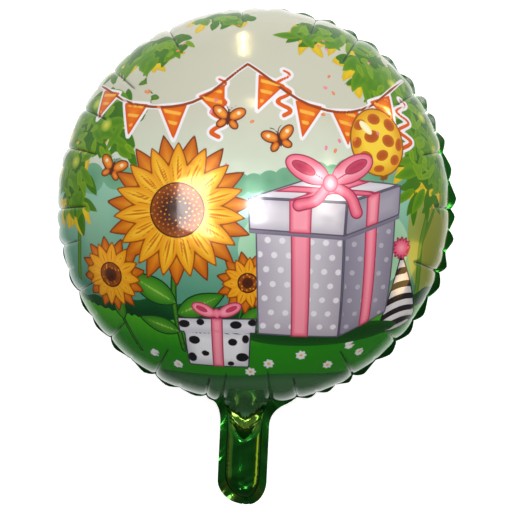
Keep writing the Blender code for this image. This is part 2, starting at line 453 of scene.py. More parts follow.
@dataclass(frozen=True)
class Seal:
    """The flat seal outside the seam: its width, its teeth round the rim, its droop, its waves, and a painted
    pale sheen on its upper right teeth.

    The shares say how much of its width shows at each bearing: all of it at the right, little where it
    curls back at the left.
    """

    width: float = 0.0050
    proud: float = 0.0008
    gather: float = 0.0048
    least: Span = (0.0002, 0.0010)
    top: float = 0.00040
    foot: float = 0.00008
    rows: int = 4
    droop: float = 0.0015
    droop_spread: float = 0.0004
    droop_power: float = 1.1
    curl: float = 0.0026
    sheen_droop_ease: float = 0.45
    show_spread: float = 0.18
    tooth_lean: float = 0.35
    tooth_power: float = 1.4
    tooth_wave: float = 0.0002
    shares: tuple[Span, ...] = ((0, 1.0), (45, 0.95), (70, 0.75), (90, 0.30), (112, 0.12), (186, 0.12),
                                (202, 0.38), (218, 0.60), (240, 0.66), (262, 0.60), (278, 0.55),
                                (300, 0.78), (330, 1.0), (360, 1.0))
    # Bearings, blend, level and spots of the painted pale sheen on the upper right teeth, which stands in for
    # a white reflection.
    pale_sheen_bearings: Span = (20.0, 72.0)
    pale_blend: float = 0.2
    pale_level: float = 0.7
    pale_spots: Ripple = Ripple(0.8, 0.009, 41)
    shoulder_dip: tuple[float, float, float] = (0.0016, 0.007, 0.008)
    swings: tuple[Ripple, Ripple] = (Ripple(0.0004, 0.024, 31), Ripple(0.0004, 0.024, 32))
    waves: tuple[Ripple, Ripple] = (Ripple(0.00008, 0.006, 33), Ripple(0.00008, 0.006, 34))
    tip_waves: Ripple = Ripple(0.0003, 0.006, 35)
    tip_bow: float = 0.0008
    corner_folds: Ripple = Ripple(0.0007, 0.0065, 36)
    corner_start: Span = (0.019, 0.006)
    corner_out: Span = (-0.004, 0.006)

    def show(self, bearing: Array) -> Array:
        """How much of the seal's width shows at each bearing."""
        return np.interp(np.degrees(bearing) % 360.0, *zip(*self.shares))

    def pale_sheen_window(self, bearing: Array) -> Array:
        """How far each bearing lies in the upper right window where the seal has a painted pale sheen and
        droops less.
        """
        low, high = np.radians(self.pale_sheen_bearings)
        return climb(bearing, low, self.pale_blend) * (1.0 - climb(bearing, high, self.pale_blend))

    def side_swing(self, places: Array, number: int, neck: Neck, film: Film) -> Array:
        """How the seal down a side of the neck waves, with ripples in the left one's folded corner.

        Args:
            places: Points of the seal's inner edge.
            number: 0 for the left side, 1 for the right side.
            neck: The neck's sizes.
            film: The film's curve, which gives the place of the seam.

        Returns:
            A height for each place.
        """
        x, y, drop = places[:, 0], places[:, 1], -places[:, 1] - film.seam_radius
        depth, place, width = self.shoulder_dip
        swing = self.swings[number].at(x, y) + self.waves[number].at(x, y)
        swing -= depth * bell(drop - place, width)
        if number == 0:
            folded = climb(drop, neck.length - self.corner_start[0], self.corner_start[1])
            swing += folded * (1.0 - climb(x, *self.corner_out)) * self.corner_folds.at(x, y)
        return swing


@dataclass
class FoilSheet:
    """One sheet of the balloon with its half of the neck and of the seal, as one closed mesh."""

    side: Side
    node: str
    seam_plane: float
    film: Film = field(default_factory=Film)
    rim: Rim = field(default_factory=Rim)
    neck: Neck = field(default_factory=Neck)
    crumples: Crumples = Crumples()
    # Where the neck gets a painted warm sheen.
    painted_warm_sheen: PaintedWarmSheen = PaintedWarmSheen()
    seal: Seal = Seal()
    dome_rings: int = 108
    rim_rings: int = 48
    rim_start: float = 0.150
    smooth_angle: float = 55.0
    crown_slopes: Span = (48.0, 42.0)
    pillow_proud: float = 0.0022
    pillow_lean: float = 0.35
    pillow_wander: float = 0.5
    dome_waves: Ripple = Ripple(0.00010, 0.090, 3)
    right_pull: float = 0.0030
    pull_shares: tuple[Span, ...] = ((0, 1.0), (22, 0.9), (60, 0.0), (285, 0.0), (325, 0.7), (345, 1.0),
                                     (360, 1.0))
    crease_depth: float = 0.0002
    tuck_depth: float = 0.0011
    tuck_width: float = 0.0007
    tuck_end: float = 0.007
    # Width and strength of the painted shade line down each crease.
    line_width: float = 0.00044
    shallow_line: float = 0.6

    def build(self) -> Item:
        """Model the sheet.

        Returns:
            The sheet's object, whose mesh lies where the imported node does.
        """
        rings = np.concatenate((np.linspace(0.0, self.rim_start, self.dome_rings, endpoint=False),
                                np.linspace(self.rim_start, self.film.flat_radius, self.rim_rings)))
        sheet = self.turn_dome(rings)
        points = self.dome_points(rings)
        self.move_dome(sheet, rings, points)
        neck_points = self.neck_points(points[-1])
        self.add_neck(sheet, neck_points)
        self.add_seal(sheet, points[-1], neck_points)
        place = read_points(sheet)
        place[:, 2] = self.seam_plane + self.side.value * place[:, 2]
        if self.side is Side.BACK:
            place[:, 2] = np.maximum(place[:, 2], 0.0)
        write_points(sheet, place)
        in_edit_mode(sheet)
        bpy.ops.mesh.select_all(action="SELECT")
        bpy.ops.mesh.normals_make_consistent(inside=False)
        bpy.ops.object.mode_set(mode="OBJECT")
        bpy.ops.object.shade_smooth_by_angle(angle=math.radians(self.smooth_angle))
        return sheet

    def turn_dome(self, rings: Array) -> Item:
        """Draw the film's curve out from a point and turn it about the balloon's axis.

        Args:
            rings: How far along the film each ring of points lies.

        Returns:
            The even, round dome.
        """
        bpy.ops.object.select_all(action="DESELECT")
        bpy.ops.mesh.primitive_plane_add(size=MM, location=(0.0, 0.0, 0.0))
        sheet = bpy.context.object
        sheet.name = self.node
        sheet.data.name = self.node
        slopes = self.film.slope(rings)
        radii, rises = self.film.radius(slopes), self.film.rise(slopes)
        bpy.ops.object.mode_set(mode="EDIT")
        bpy.ops.mesh.select_all(action="SELECT")
        bpy.ops.mesh.merge(type="CENTER")
        bpy.ops.transform.translate(value=(0.0, 0.0, rises[0]))
        for index in range(1, len(rings)):
            step = (radii[index] - radii[index - 1], 0.0, rises[index] - rises[index - 1])
            bpy.ops.mesh.extrude_region_move(TRANSFORM_OT_translate={"value": step})
        bpy.ops.object.mode_set(mode="OBJECT")
        turn = sheet.modifiers.new("Turn", "SCREW")
        turn.axis = "Z"
        turn.steps = turn.render_steps = self.rim.columns
        turn.use_merge_vertices = True
        turn.merge_threshold = MERGE
        bpy.ops.object.modifier_apply(modifier=turn.name)
        return sheet

    def dome_points(self, rings: Array) -> Array:
        """Places of the dome's points, with the rim gathered into pillows.

        Args:
            rings: How far along the film each ring of points lies.

        Returns:
            A place for each ring and column.
        """
        rim, film = self.rim, self.film
        arc = rings[:, None]
        slope = film.slope(arc)
        radius = film.radius(slope) + 0.0 * rim.bearing
        rise = film.rise(slope) + 0.0 * rim.bearing
        crown = climb(slope, *np.radians(self.crown_slopes))
        crease = climb(slope, rim.run, 0.5 * math.pi - rim.run)
        tucked = climb(arc, film.arc(rim.run), self.tuck_end)
        tuck = bell(rim.gap * np.maximum(radius, MM), self.tuck_width)
        pinch, draw = rim.edge ** 2, rim.pillow_draw[rim.pillow]
        push = self.pillow_proud * crown * (1.0 + self.pillow_lean * draw[:, 0] * (1.0 - pinch) ** 2)
        push -= (self.pillow_proud + self.crease_depth) * rim.share * np.minimum(crease, crown) * pinch
        push -= self.tuck_depth * rim.share * tucked * tuck
        push -= self.right_pull * np.interp(np.degrees(rim.bearing) % 360.0, *zip(*self.pull_shares)) * crown
        push += self.dome_waves.at(arc * np.cos(rim.bearing), arc * np.sin(rim.bearing))
        radius += push * np.sin(slope)
        rise += push * np.cos(slope) * (arc < film.flat_radius)
        self.open_mouth(slope, radius, rise)
        bearing = rim.bearing + math.radians(self.pillow_wander) * draw[:, 1] * (1.0 - pinch) * crown
        rise = np.maximum(rise, self.seal.top)
        return np.stack((radius * np.cos(bearing), radius * np.sin(bearing), rise), axis=-1)

    def open_mouth(self, slope: Array, radius: Array, rise: Array) -> None:
        """Where the neck leaves the round body, ease the film out of the dome's curve, in place.

        Args:
            slope: The film's slope at each ring.
            radius: Distances from the axis, by ring and column, which this changes.
            rise: Heights above the seam plane, by ring and column, which this changes.
        """
        neck, film, mouth = self.neck, self.film, self.rim.at_mouth
        spot = self.rim.spot[mouth]
        leave = math.radians(neck.leave_slope)
        start = float(film.radius(leave))
        way = np.clip((film.arc(slope) - film.arc(leave)) / (film.flat_radius - film.arc(leave)), 0.0, 1.0)
        out = start + (film.seam_radius - start) * way
        past = (slope > leave) * arched(spot)
        radius[:, mouth] += past * (out - radius[:, mouth])
        rise[:, mouth] += past * (neck.slide(out, film) - rise[:, mouth])
        rise[:, mouth] -= self.crumples.dip(spot) * smooth(way)

    def move_dome(self, sheet: Item, rings: Array, points: Array) -> None:
        """Move the spun dome's points to their places in the pillows.

        Args:
            sheet: The even, round dome.
            rings: How far along the film each ring of points lies.
            points: A place for each ring and column.
        """
        spun = read_points(sheet)
        heights = self.film.rise(self.film.slope(rings))
        order = np.argsort(heights)
        ring = order[np.clip(np.searchsorted(heights[order], spun[:, 2] - 1e-6), 0, len(rings) - 1)]
        turn = np.arctan2(spun[:, 1], spun[:, 0]) / (2.0 * math.pi)
        column = np.round(turn * self.rim.columns).astype(int) % self.rim.columns
        write_points(sheet, points[ring, column])
        arc, bearing = rings[ring], self.rim.bearing[column]
        # The crease attribute holds painted shade, which the print's finish darkens its colour by.
        mark_sheet(sheet, arc * np.cos(bearing), arc * np.sin(bearing), self.crease_shade_lines(arc, column),
                   0.0 * arc)

    def crease_shade_lines(self, arc: Array, column: Array) -> Array:
        """How deep in a crease's painted shade points of the dome lie: a dark line down each crease,
        multiplied into the print's colour.

        Args:
            arc: Distance of each point along the film, from its middle.
            column: Which column each point is in.

        Returns:
            A share from 0 to 1 for each point.
        """
        rim, film = self.rim, self.film
        gap = rim.gap[column] * film.radius(film.slope(arc))
        line = bell(gap, self.line_width) * climb(arc, film.arc(rim.run[column]), self.tuck_end)
        return line * np.where(rim.share[column] < 1.0, self.shallow_line, 1.0) * ~rim.at_mouth[column]

    def neck_points(self, mouth_ring: Array) -> Array:
        """Places of the neck's points, from the mouth to the tip.

        Args:
            mouth_ring: Places of the dome's last ring, by column.

        Returns:
            A place for each row and column of the neck.
        """
        rim, neck, film, seam = self.rim, self.neck, self.film, self.film.seam_radius
        columns = np.arange(rim.mouth_columns + 1)
        root = mouth_ring[(rim.first + columns) % rim.columns]
        spot = -np.cos(math.pi * columns / rim.mouth_columns)[None, :]
        share = np.linspace(0.0, 1.0, neck.rows + 1)[:, None]
        share = share + neck.tip_crowding * share * (1.0 - share)
        drop = (neck.length - neck.seal_width) * share
        reach = seam + drop
        bow = neck.fold_bow * smooth(drop / neck.fold_drop)
        bow = bow * (1.0 - climb(drop, neck.fold_drop, 2.0 * neck.fold_length))
        away = reach - bow * np.hypot(spot, neck.fold_softness) * (0.5 * neck.width - neck.seal_width)
        left, right = neck.sides(away, neck.seal_width, film)
        x = 0.5 * (left + right) + 0.5 * (right - left) * spot
        blend = smooth(drop / neck.mouth_blend)
        x = root[:, 0] + (x - root[:, 0]) * blend
        y = -away + (root[:, 1] + seam) * (1.0 - blend)
        z = neck.height(reach, film) * arched(spot) + self.crumples.relief(x, y, drop, spot, neck)
        x[0], y[0], z[0] = root[:, 0], root[:, 1], root[:, 2]
        z[1:, 0] = z[1:, -1] = self.seal.top
        return np.stack((x, y, np.maximum(z, self.seal.top)), axis=-1)

    def add_neck(self, sheet: Item, points: Array) -> None:
        """Shape a grid into the neck and merge its first row with the mouth of the round body.

        Args:
            sheet: The dome, which the neck joins.
            points: A place for each row and column of the neck.
        """
        rows, columns = points.shape[0] - 1, points.shape[1] - 1
        bpy.ops.object.select_all(action="DESELECT")
        bpy.ops.mesh.primitive_grid_add(x_subdivisions=columns, y_subdivisions=rows, size=2.0)
        grid = bpy.context.object
        flat = read_points(grid)
        column = np.round((flat[:, 0] + 1.0) * 0.5 * columns).astype(int)
        row = np.round((1.0 - flat[:, 1]) * 0.5 * rows).astype(int)
        placed = points[row, column]
        write_points(grid, placed)
        stretch = self.film.flat_radius / self.film.seam_radius
        x, y = placed[:, 0] * stretch, placed[:, 1] * stretch
        # The neck is marked with painted warm sheen: yellow that stands in for warm reflections.
        mark_sheet(grid, x, y, 0.0 * x, self.painted_warm_sheen.shares(placed, self.neck, self.film))
        sheet.select_set(True)
        bpy.context.view_layer.objects.active = sheet
        bpy.ops.object.join()
        in_edit_mode(sheet)
        bpy.ops.mesh.select_all(action="SELECT")
        bpy.ops.mesh.remove_doubles(threshold=MERGE)
        bpy.ops.object.mode_set(mode="OBJECT")

    def add_seal(self, sheet: Item, seam_ring: Array, neck_points: Array) -> None:
        """Extrude the open border into the flat seal, and close the sheet below it.

        Args:
            sheet: The dome with its neck.
            seam_ring: Places of the dome's last ring, by column.
            neck_points: A place for each row and column of the neck.
        """
        seal = self.seal
        parts = (self.rim_seal(seam_ring), self.side_seal(neck_points, 0), self.tip_seal(neck_points),
                 self.side_seal(neck_points, 1))
        inner, outer, wave = (np.concatenate(part) for part in zip(*parts))
        swing = self.side.value * wave
        lines = []
        for share in np.arange(1, seal.rows + 1) / seal.rows:
            line = inner + (outer - inner) * share
            line[:, 2] = seal.top + swing * share ** seal.droop_power
            lines.append(line)
        for edge, height in ((outer, seal.foot + swing), (inner, seal.foot + 0.0 * swing)):
            lines.append(np.column_stack((edge[:, :2], height)))
        self.extrude_border(sheet, inner, lines)
        x, y = read_points(sheet)[:, :2].T
        # Painted pale sheen on the seal's upper right teeth, in spots, standing in for a white reflection.
        pale = seal.pale_sheen_window(np.arctan2(y, x)) * read_values(sheet, "on_seal")
        pale *= np.clip(seal.pale_level + seal.pale_spots.at(x, y), 0.0, 1.0)
        write_values(sheet, "pale", pale)

    def extrude_border(self, sheet: Item, inner: Array, lines: list[Array]) -> None:
        """Extrude the sheet's open border from line to line, and fill the last one with a face.

        Args:
            sheet: The sheet, open at its border.
            inner: Places of the border's points.
            lines: Where those points go, step by step, in the same order.
        """
        tree = KDTree(len(inner))
        for index, spot in enumerate(inner):
            tree.insert(Vector(spot), index)
        tree.balance()
        in_edit_mode(sheet)
        bpy.ops.mesh.select_all(action="DESELECT")
        bpy.ops.mesh.select_non_manifold(extend=False, use_boundary=True, use_wire=False, use_verts=False,
                                         use_multi_face=False, use_non_contiguous=False)
        bpy.ops.object.mode_set(mode="OBJECT")
        places = read_points(sheet)
        border = [vertex.index for vertex in sheet.data.vertices if vertex.select]
        marks = {spot_key(places[index]): tree.find(Vector(places[index]))[1] for index in border}
        for line in lines:
            in_edit_mode(sheet)
            bpy.ops.mesh.extrude_region_move(TRANSFORM_OT_translate={"value": (0.0, 0.0, 0.0)})
            bpy.ops.object.mode_set(mode="OBJECT")
            places = read_points(sheet)
            border = [vertex.index for vertex in sheet.data.vertices if vertex.select]
            numbers = [marks[spot_key(places[index])] for index in border]
            places[border] = line[numbers]
            write_points(sheet, places)
            places = read_points(sheet)
            marks = {spot_key(places[index]): number for index, number in zip(border, numbers)}
            on_seal = sheet.data.attributes["on_seal"]
            for index in border:
                on_seal.data[index].value = 1.0
        in_edit_mode(sheet)
        bpy.ops.mesh.edge_face_add()
        bpy.ops.object.mode_set(mode="OBJECT")

    def rim_seal(self, seam_ring: Array) -> list[Array]:
        """The seal round the rim, with a tooth on each pillow.

        Args:
            seam_ring: Places of the dome's last ring, by column.

        Returns:
            Its inner edge, its outer edge and how it waves, point for point.
        """
        rim, seal, seam = self.rim, self.seal, self.film.seam_radius
        disc = (rim.first + rim.mouth_columns + np.arange(rim.columns - rim.mouth_columns + 1)) % rim.columns
        bearing, spot = rim.bearing[disc], rim.spot[disc]
        draw = rim.pillow_draw[rim.pillow[disc]]
        show = seal.show(bearing) * (1.0 + seal.show_spread * draw[:, 2])
        tooth = 1.0 - np.abs(spot - seal.tooth_lean * draw[:, 3] * (1.0 - spot ** 2)) ** seal.tooth_power
        inside = np.hypot(seam_ring[disc, 0], seam_ring[disc, 1]) + seal.least[0] + seal.least[1] * show
        teeth = seam + seal.width + seal.proud - seal.gather * (1.0 - tooth)
        edge = inside + np.maximum(teeth - inside, 0.0) * show
        outer = np.stack((edge * np.cos(bearing), edge * np.sin(bearing), 0.0 * edge), axis=-1)
        droop = seal.droop * (1.0 - seal.sheen_droop_ease * seal.pale_sheen_window(bearing))
        droop += seal.droop_spread * draw[:, 1] + seal.curl * (1.0 - show)
        wave = seal.tooth_wave * np.sin(math.pi * spot) * draw[:, 0] - droop * tooth
        away = (bearing - math.radians(270.0) + math.pi) % (2.0 * math.pi) - math.pi
        for number in (0, 1):
            outer, wave = self.onto_web(outer, wave, away, number)
        return [seam_ring[disc], outer, wave]

    def onto_web(self, outer: Array, wave: Array, away: Array,
                 number: int) -> tuple[Array, Array]:
        """Lead the rim's outer edge on to the upper part of a web, beside the neck.

        Args:
            outer: The rim seal's outer edge.
            wave: How the rim's seal waves.
            away: Bearings from the neck's middle, in radians.
            number: 0 for the left web, 1 for the right web.

        Returns:
            The outer edge and the wave, changed beside the neck.
        """
        neck, film, sign = self.neck, self.film, 2 * number - 1
        steps = np.linspace(0.0, 1.0, 41)
        reach = film.seam_radius + neck.web_length * steps
        web = np.stack((neck.sides(reach, 0.0, film)[number], -reach, 0.0 * reach), axis=-1)
        near = math.radians(self.rim.mouth[number] - 270.0)
        far = sign * math.asin(abs(web[0, 0]) / (film.seam_radius + MM)) * neck.web_overlap
        way = np.clip((away - near) / (far - near), 0.0, 1.0)
        on_web = (sign * away > sign * near - 1e-6) & (sign * away < sign * far)
        spot = (1.0 - way) * (1.0 - neck.web_turn)
        line = np.stack([np.interp(spot, steps, web[:, axis]) for axis in range(3)], axis=-1)
        blend = smooth((1.0 - way) / neck.web_blend)[:, None]
        mixed = outer + (line - outer) * blend
        return np.where(on_web[:, None], mixed, outer), np.where(on_web, wave * (1.0 - blend[:, 0]), wave)

    def side_seal(self, neck_points: Array, number: int) -> list[Array]:
        """The seal down a side of the neck.

        Args:
            neck_points: A place for each row and column of the neck.
            number: 0 for the left side, 1 for the right side.

        Returns:
            Its inner edge, its outer edge and how it waves, point for point.
        """
        inner = neck_points[1:, -number]
        return [inner, self.side_line(-inner[:, 1], number),
                self.seal.side_swing(inner, number, self.neck, self.film)]

    def tip_seal(self, neck_points: Array) -> list[Array]:
        """The seal across the neck's tip.

        Args:
            neck_points: A place for each row and column of the neck.

        Returns:
            Its inner edge, its outer edge and how it waves, point for point.
        """
        tip = neck_points[-1, 1:-1]
        across = np.linspace(0.0, 1.0, len(tip) + 2)[1:-1]
        left, right = (self.side_line(-neck_points[-1:, -number, 1], number)[0] for number in (0, 1))
        low = left + (right - left) * across[:, None]
        low[:, 1] = -self.film.seam_radius - self.neck.length + self.seal.tip_bow * (2.0 * across - 1.0) ** 2
        return [tip, low, self.seal.tip_waves.at(tip[:, 0], tip[:, 1])]

    def side_line(self, reach: Array, number: int) -> Array:
        """The outer edge of the neck's seal beside points of its inner edge, from the web to the tip.

        Args:
            reach: Distances of the inner points from the balloon's middle.
            number: 0 for the left side, 1 for the right side.

        Returns:
            A place on the outer edge for each of them.
        """
        neck, start = self.neck, self.film.seam_radius
        turn = start + neck.web_length * (1.0 - neck.web_turn)
        way = np.clip((reach - start) / (neck.length - neck.seal_width), 0.0, 1.0)
        low = turn + (start + neck.length - turn) * way
        return np.stack((neck.sides(low, 0.0, self.film)[number], -low, 0.0 * low), axis=-1)


def spot_key(place: Array) -> tuple[float, ...]:
    """A place rounded to a tenth of a thousandth of a millimetre, to find it again by."""
    return tuple(np.round(place, 7))


def read_points(item: Item) -> Array:
    """Read the places of a mesh's points.

    Args:
        item: The object with the mesh.

    Returns:
        One row for each point.
    """
    places = np.empty(len(item.data.vertices) * 3)
    item.data.vertices.foreach_get("co", places)
    return places.reshape(-1, 3)


def write_points(item: Item, places: Array) -> None:
    """Move a mesh's points to these places."""
    item.data.vertices.foreach_set("co", np.ascontiguousarray(places, dtype=float).ravel())
    item.data.update()


def read_values(item: Item, name: str) -> Array:
    """Read one of a mesh's attributes.

    Args:
        item: The object with the mesh.
        name: The attribute's name.

    Returns:
        One value for each point.
    """
    values = np.empty(len(item.data.vertices), dtype=np.float32)
    item.data.attributes[name].data.foreach_get("value", values)
    return values.astype(float)


def write_values(item: Item, name: str, values: Array) -> None:
    """Give a mesh an attribute with one value for each point."""
    mark = item.data.attributes.new(name, "FLOAT", "POINT")
    mark.data.foreach_set("value", np.asarray(values, dtype=np.float32))


def mark_sheet(item: Item, x: Array, y: Array, crease: Array, painted_warm_sheen: Array) -> None:
    """Record what the finishes read of each point of a sheet, before it has its seal.

    Args:
        item: The object with the mesh.
        x: Places on the flat sheet, along X.
        y: Places on the flat sheet, along Y.
        crease: How deep in a crease's painted shade the points are.
        painted_warm_sheen: How yellow they are.
    """
    # Two of these marks are painted light: the crease shade and the warm yellow sheen.
    marks = {"flat_x": x, "flat_y": y, "crease": crease, "painted_warm_sheen": painted_warm_sheen, "on_seal": 0.0 * x}
    for name, values in marks.items():
        write_values(item, name, values)


def in_edit_mode(item: Item) -> None:
    """Make an object the only selected one and open it for editing.

    Args:
        item: The object.
    """
    bpy.ops.object.select_all(action="DESELECT")
    item.select_set(True)
    bpy.context.view_layer.objects.active = item
    bpy.ops.object.mode_set(mode="EDIT")


def put(tree: Tree, given: Given, socket: Socket) -> None:
    """Join a socket to another one, or set it to a value.

    Args:
        tree: The nodes that they belong to.
        given: The other socket, or the value.
        socket: The socket that takes it.
    """
    if isinstance(given, Socket):
        tree.links.new(given, socket)
    else:
        socket.default_value = given


def attribute(tree: Tree, name: str) -> Socket:
    """Read one of the piece's attributes.

    Args:
        tree: Its nodes.
        name: The attribute's name.

    Returns:
        The socket that gives its values.
    """
    source = tree.nodes.new("ShaderNodeAttribute")
    source.attribute_name = name
    return source.outputs["Fac"]


def ranged(tree: Tree, given: Socket, start: Span, end: Span = (0.0, 1.0),
           kind: str = "LINEAR") -> Socket:
    """Spread a value from one range over another.

    Args:
        tree: The nodes that it belongs to.
        given: The value.
        start: The range that it comes in.
        end: What it is at both ends of that range.
        kind: How it goes between them.

    Returns:
        The socket that gives the new value.
    """
    spread = tree.nodes.new("ShaderNodeMapRange")
    spread.interpolation_type = kind
    for name, value in zip(("From Min", "From Max", "To Min", "To Max"), (*start, *end)):
        spread.inputs[name].default_value = value
    tree.links.new(given, spread.inputs["Value"])
    return spread.outputs["Result"]


def laid_over(tree: Tree, share: Given, below: Given, above: Given,
              kind: str = "MIX") -> Socket:
    """Lay one colour over another.

    Args:
        tree: Its nodes.
        share: How much of the upper colour there is.
        below: The lower colour.
        above: The upper colour.
        kind: How they go together.

    Returns:
        The socket that gives the colour.
    """
    mix = tree.nodes.new("ShaderNodeMix")
    mix.data_type, mix.blend_type = "RGBA", kind
    for name, given in (("Factor", share), ("A", below), ("B", above)):
        put(tree, given, mix.inputs[name])
    return mix.outputs["Result"]


def reckon(tree: Tree, operation: str, first: Given, second: Given,
           clamped: bool = False) -> Socket:
    """Work out a value from two others.

    Args:
        tree: The nodes that they belong to.
        operation: What is done with them.
        first: The first value.
        second: The second value.
        clamped: Whether the result is kept between 0 and 1.

    Returns:
        The socket that gives the result.
    """
    step = tree.nodes.new("ShaderNodeMath")
    step.operation, step.use_clamp = operation, clamped
    put(tree, first, step.inputs[0])
    put(tree, second, step.inputs[1])
    return step.outputs["Value"]


def noise(tree: Tree, length: float, detail: float, low: float = 0.0, high: float = 1.0) -> Socket:
    """Uneven values that vary over this length along the piece.

    Args:
        tree: Its nodes.
        length: How far apart high and low places lie, in metres.
        detail: How many finer steps the unevenness has.
        low: The value in the low places.
        high: The value in the high places.

    Returns:
        The socket that gives the values.
    """
    places, uneven = tree.nodes.new("ShaderNodeTexCoord"), tree.nodes.new("ShaderNodeTexNoise")
    uneven.inputs["Scale"].default_value = 1.0 / length
    uneven.inputs["Detail"].default_value = detail
    tree.links.new(places.outputs["Object"], uneven.inputs["Vector"])
    return ranged(tree, uneven.outputs["Fac"], NOISE_RANGE, (low, high))


def new_finish(name: str, coat: float) -> tuple[Finish, bpy.types.Node]:
    """Start a glossy finish with a clear coat.

    Args:
        name: The finish's name.
        coat: How strong the coat is.

    Returns:
        The finish and its shader.
    """
    material = bpy.data.materials.new(name)
    material.use_nodes = True
    shader = material.node_tree.nodes["Principled BSDF"]
    shader.inputs["Coat Weight"].default_value = coat
    shader.inputs["Coat Roughness"].default_value = COAT_ROUGHNESS
    return material, shader


@dataclass(frozen=True)
class Unevenness:
    """What keeps the film from being a perfect mirror: soft waves, fine crinkles and a sheen that varies."""

    waves: tuple[Span, ...] = ((0.021, 0.00010), (0.0034, 0.000012))
    wave_detail: float = 2.0
    sheen: Span = (0.80, 1.25)
    sheen_length: float = 0.009
    sheen_detail: float = 3.0

    def bend(self, tree: Tree, shader: bpy.types.Node) -> None:
        """Let the waves and the crinkles bend the light.

        Args:
            tree: Its nodes.
            shader: The finish's shader.
        """
        for length, height in self.waves:
            bump = tree.nodes.new("ShaderNodeBump")
            bump.inputs["Distance"].default_value = height
            tree.links.new(noise(tree, length, self.wave_detail), bump.inputs["Height"])
            for link in shader.inputs["Normal"].links:
                tree.links.new(link.from_socket, bump.inputs["Normal"])
            tree.links.new(bump.outputs["Normal"], shader.inputs["Normal"])

    def varied(self, tree: Tree, roughness: float) -> Socket:
        """A sheen that varies about this roughness."""
        low, high = self.sheen
        return noise(tree, self.sheen_length, self.sheen_detail, low * roughness, high * roughness)


@dataclass(frozen=True)
class GreenFilm:
    """Plain metallised film with a deep green lacquer, and painted yellow and pale sheen, standing in for
    warm and white reflections, where the piece is marked so.
    """

    name: str = "green_film"
    colour: Colour = (0.006, 0.205, 0.012)
    thin_colour: Colour = (0.014, 0.250, 0.012)
    thin_length: float = 0.030
    painted_warm_sheen_colour: Colour = (0.110, 0.240, 0.018)
    painted_pale_sheen_colour: Colour = (0.80, 0.95, 0.78)
    roughness: float = 0.13
    coat: float = 0.35
    uneven: Unevenness = Unevenness()

    def material(self) -> Finish:
        """Make the finish.

        Returns:
            The finish.
        """
        material, shader = new_finish(self.name, self.coat)
        tree = material.node_tree
        tree.links.new(self.lacquer(tree), shader.inputs["Base Color"])
        shader.inputs["Metallic"].default_value = 1.0
        tree.links.new(self.uneven.varied(tree, self.roughness), shader.inputs["Roughness"])
        self.uneven.bend(tree, shader)
        return material

    def lacquer(self, tree: Tree) -> Socket:
        """The lacquer's colour: its plain green, with a tone that varies, and painted warm and pale sheen
        laid over it.

        Args:
            tree: Its nodes.

        Returns:
            The socket that gives the colour.
        """
        thin = noise(tree, self.thin_length, self.uneven.wave_detail)
        colour = (*self.colour, 1.0)
        # Painted sheen: warm yellow and pale tints over the green stand in for reflections.
        for share, tint in ((thin, self.thin_colour), (attribute(tree, "painted_warm_sheen"), self.painted_warm_sheen_colour),
                            (attribute(tree, "pale"), self.painted_pale_sheen_colour)):
            colour = laid_over(tree, share, colour, (*tint, 1.0))
        return colour


@dataclass(frozen=True)
class Ink:
    """One ink of the print: the line round it, its colour at the edge and its colour further in.

    Colours are display values from 0 to 255, and widths are millimetres.
    """

    edge: Colour
    core: Colour
    spread: float = 8.0
    line: Colour | None = None
    line_width: float = 0.9


BOX_LINE: Colour = (92, 84, 104)
DARK_LINE: Colour = (58, 54, 60)
RIBBON_LINE: Colour = (170, 60, 90)
BOW_LINE: Colour = (160, 52, 82)


def flat_ink(colour: Colour, spread: float = 1.0) -> Ink:
    """An ink of one colour."""
    return Ink(colour, colour, spread)


def joined(*shapes: Array) -> Array:
    """How far inside any of the shapes each place is."""
    return np.maximum.reduce(shapes)


def shared(*shapes: Array) -> Array:
    """How far inside all of the shapes each place is."""
    return np.minimum.reduce(shapes)


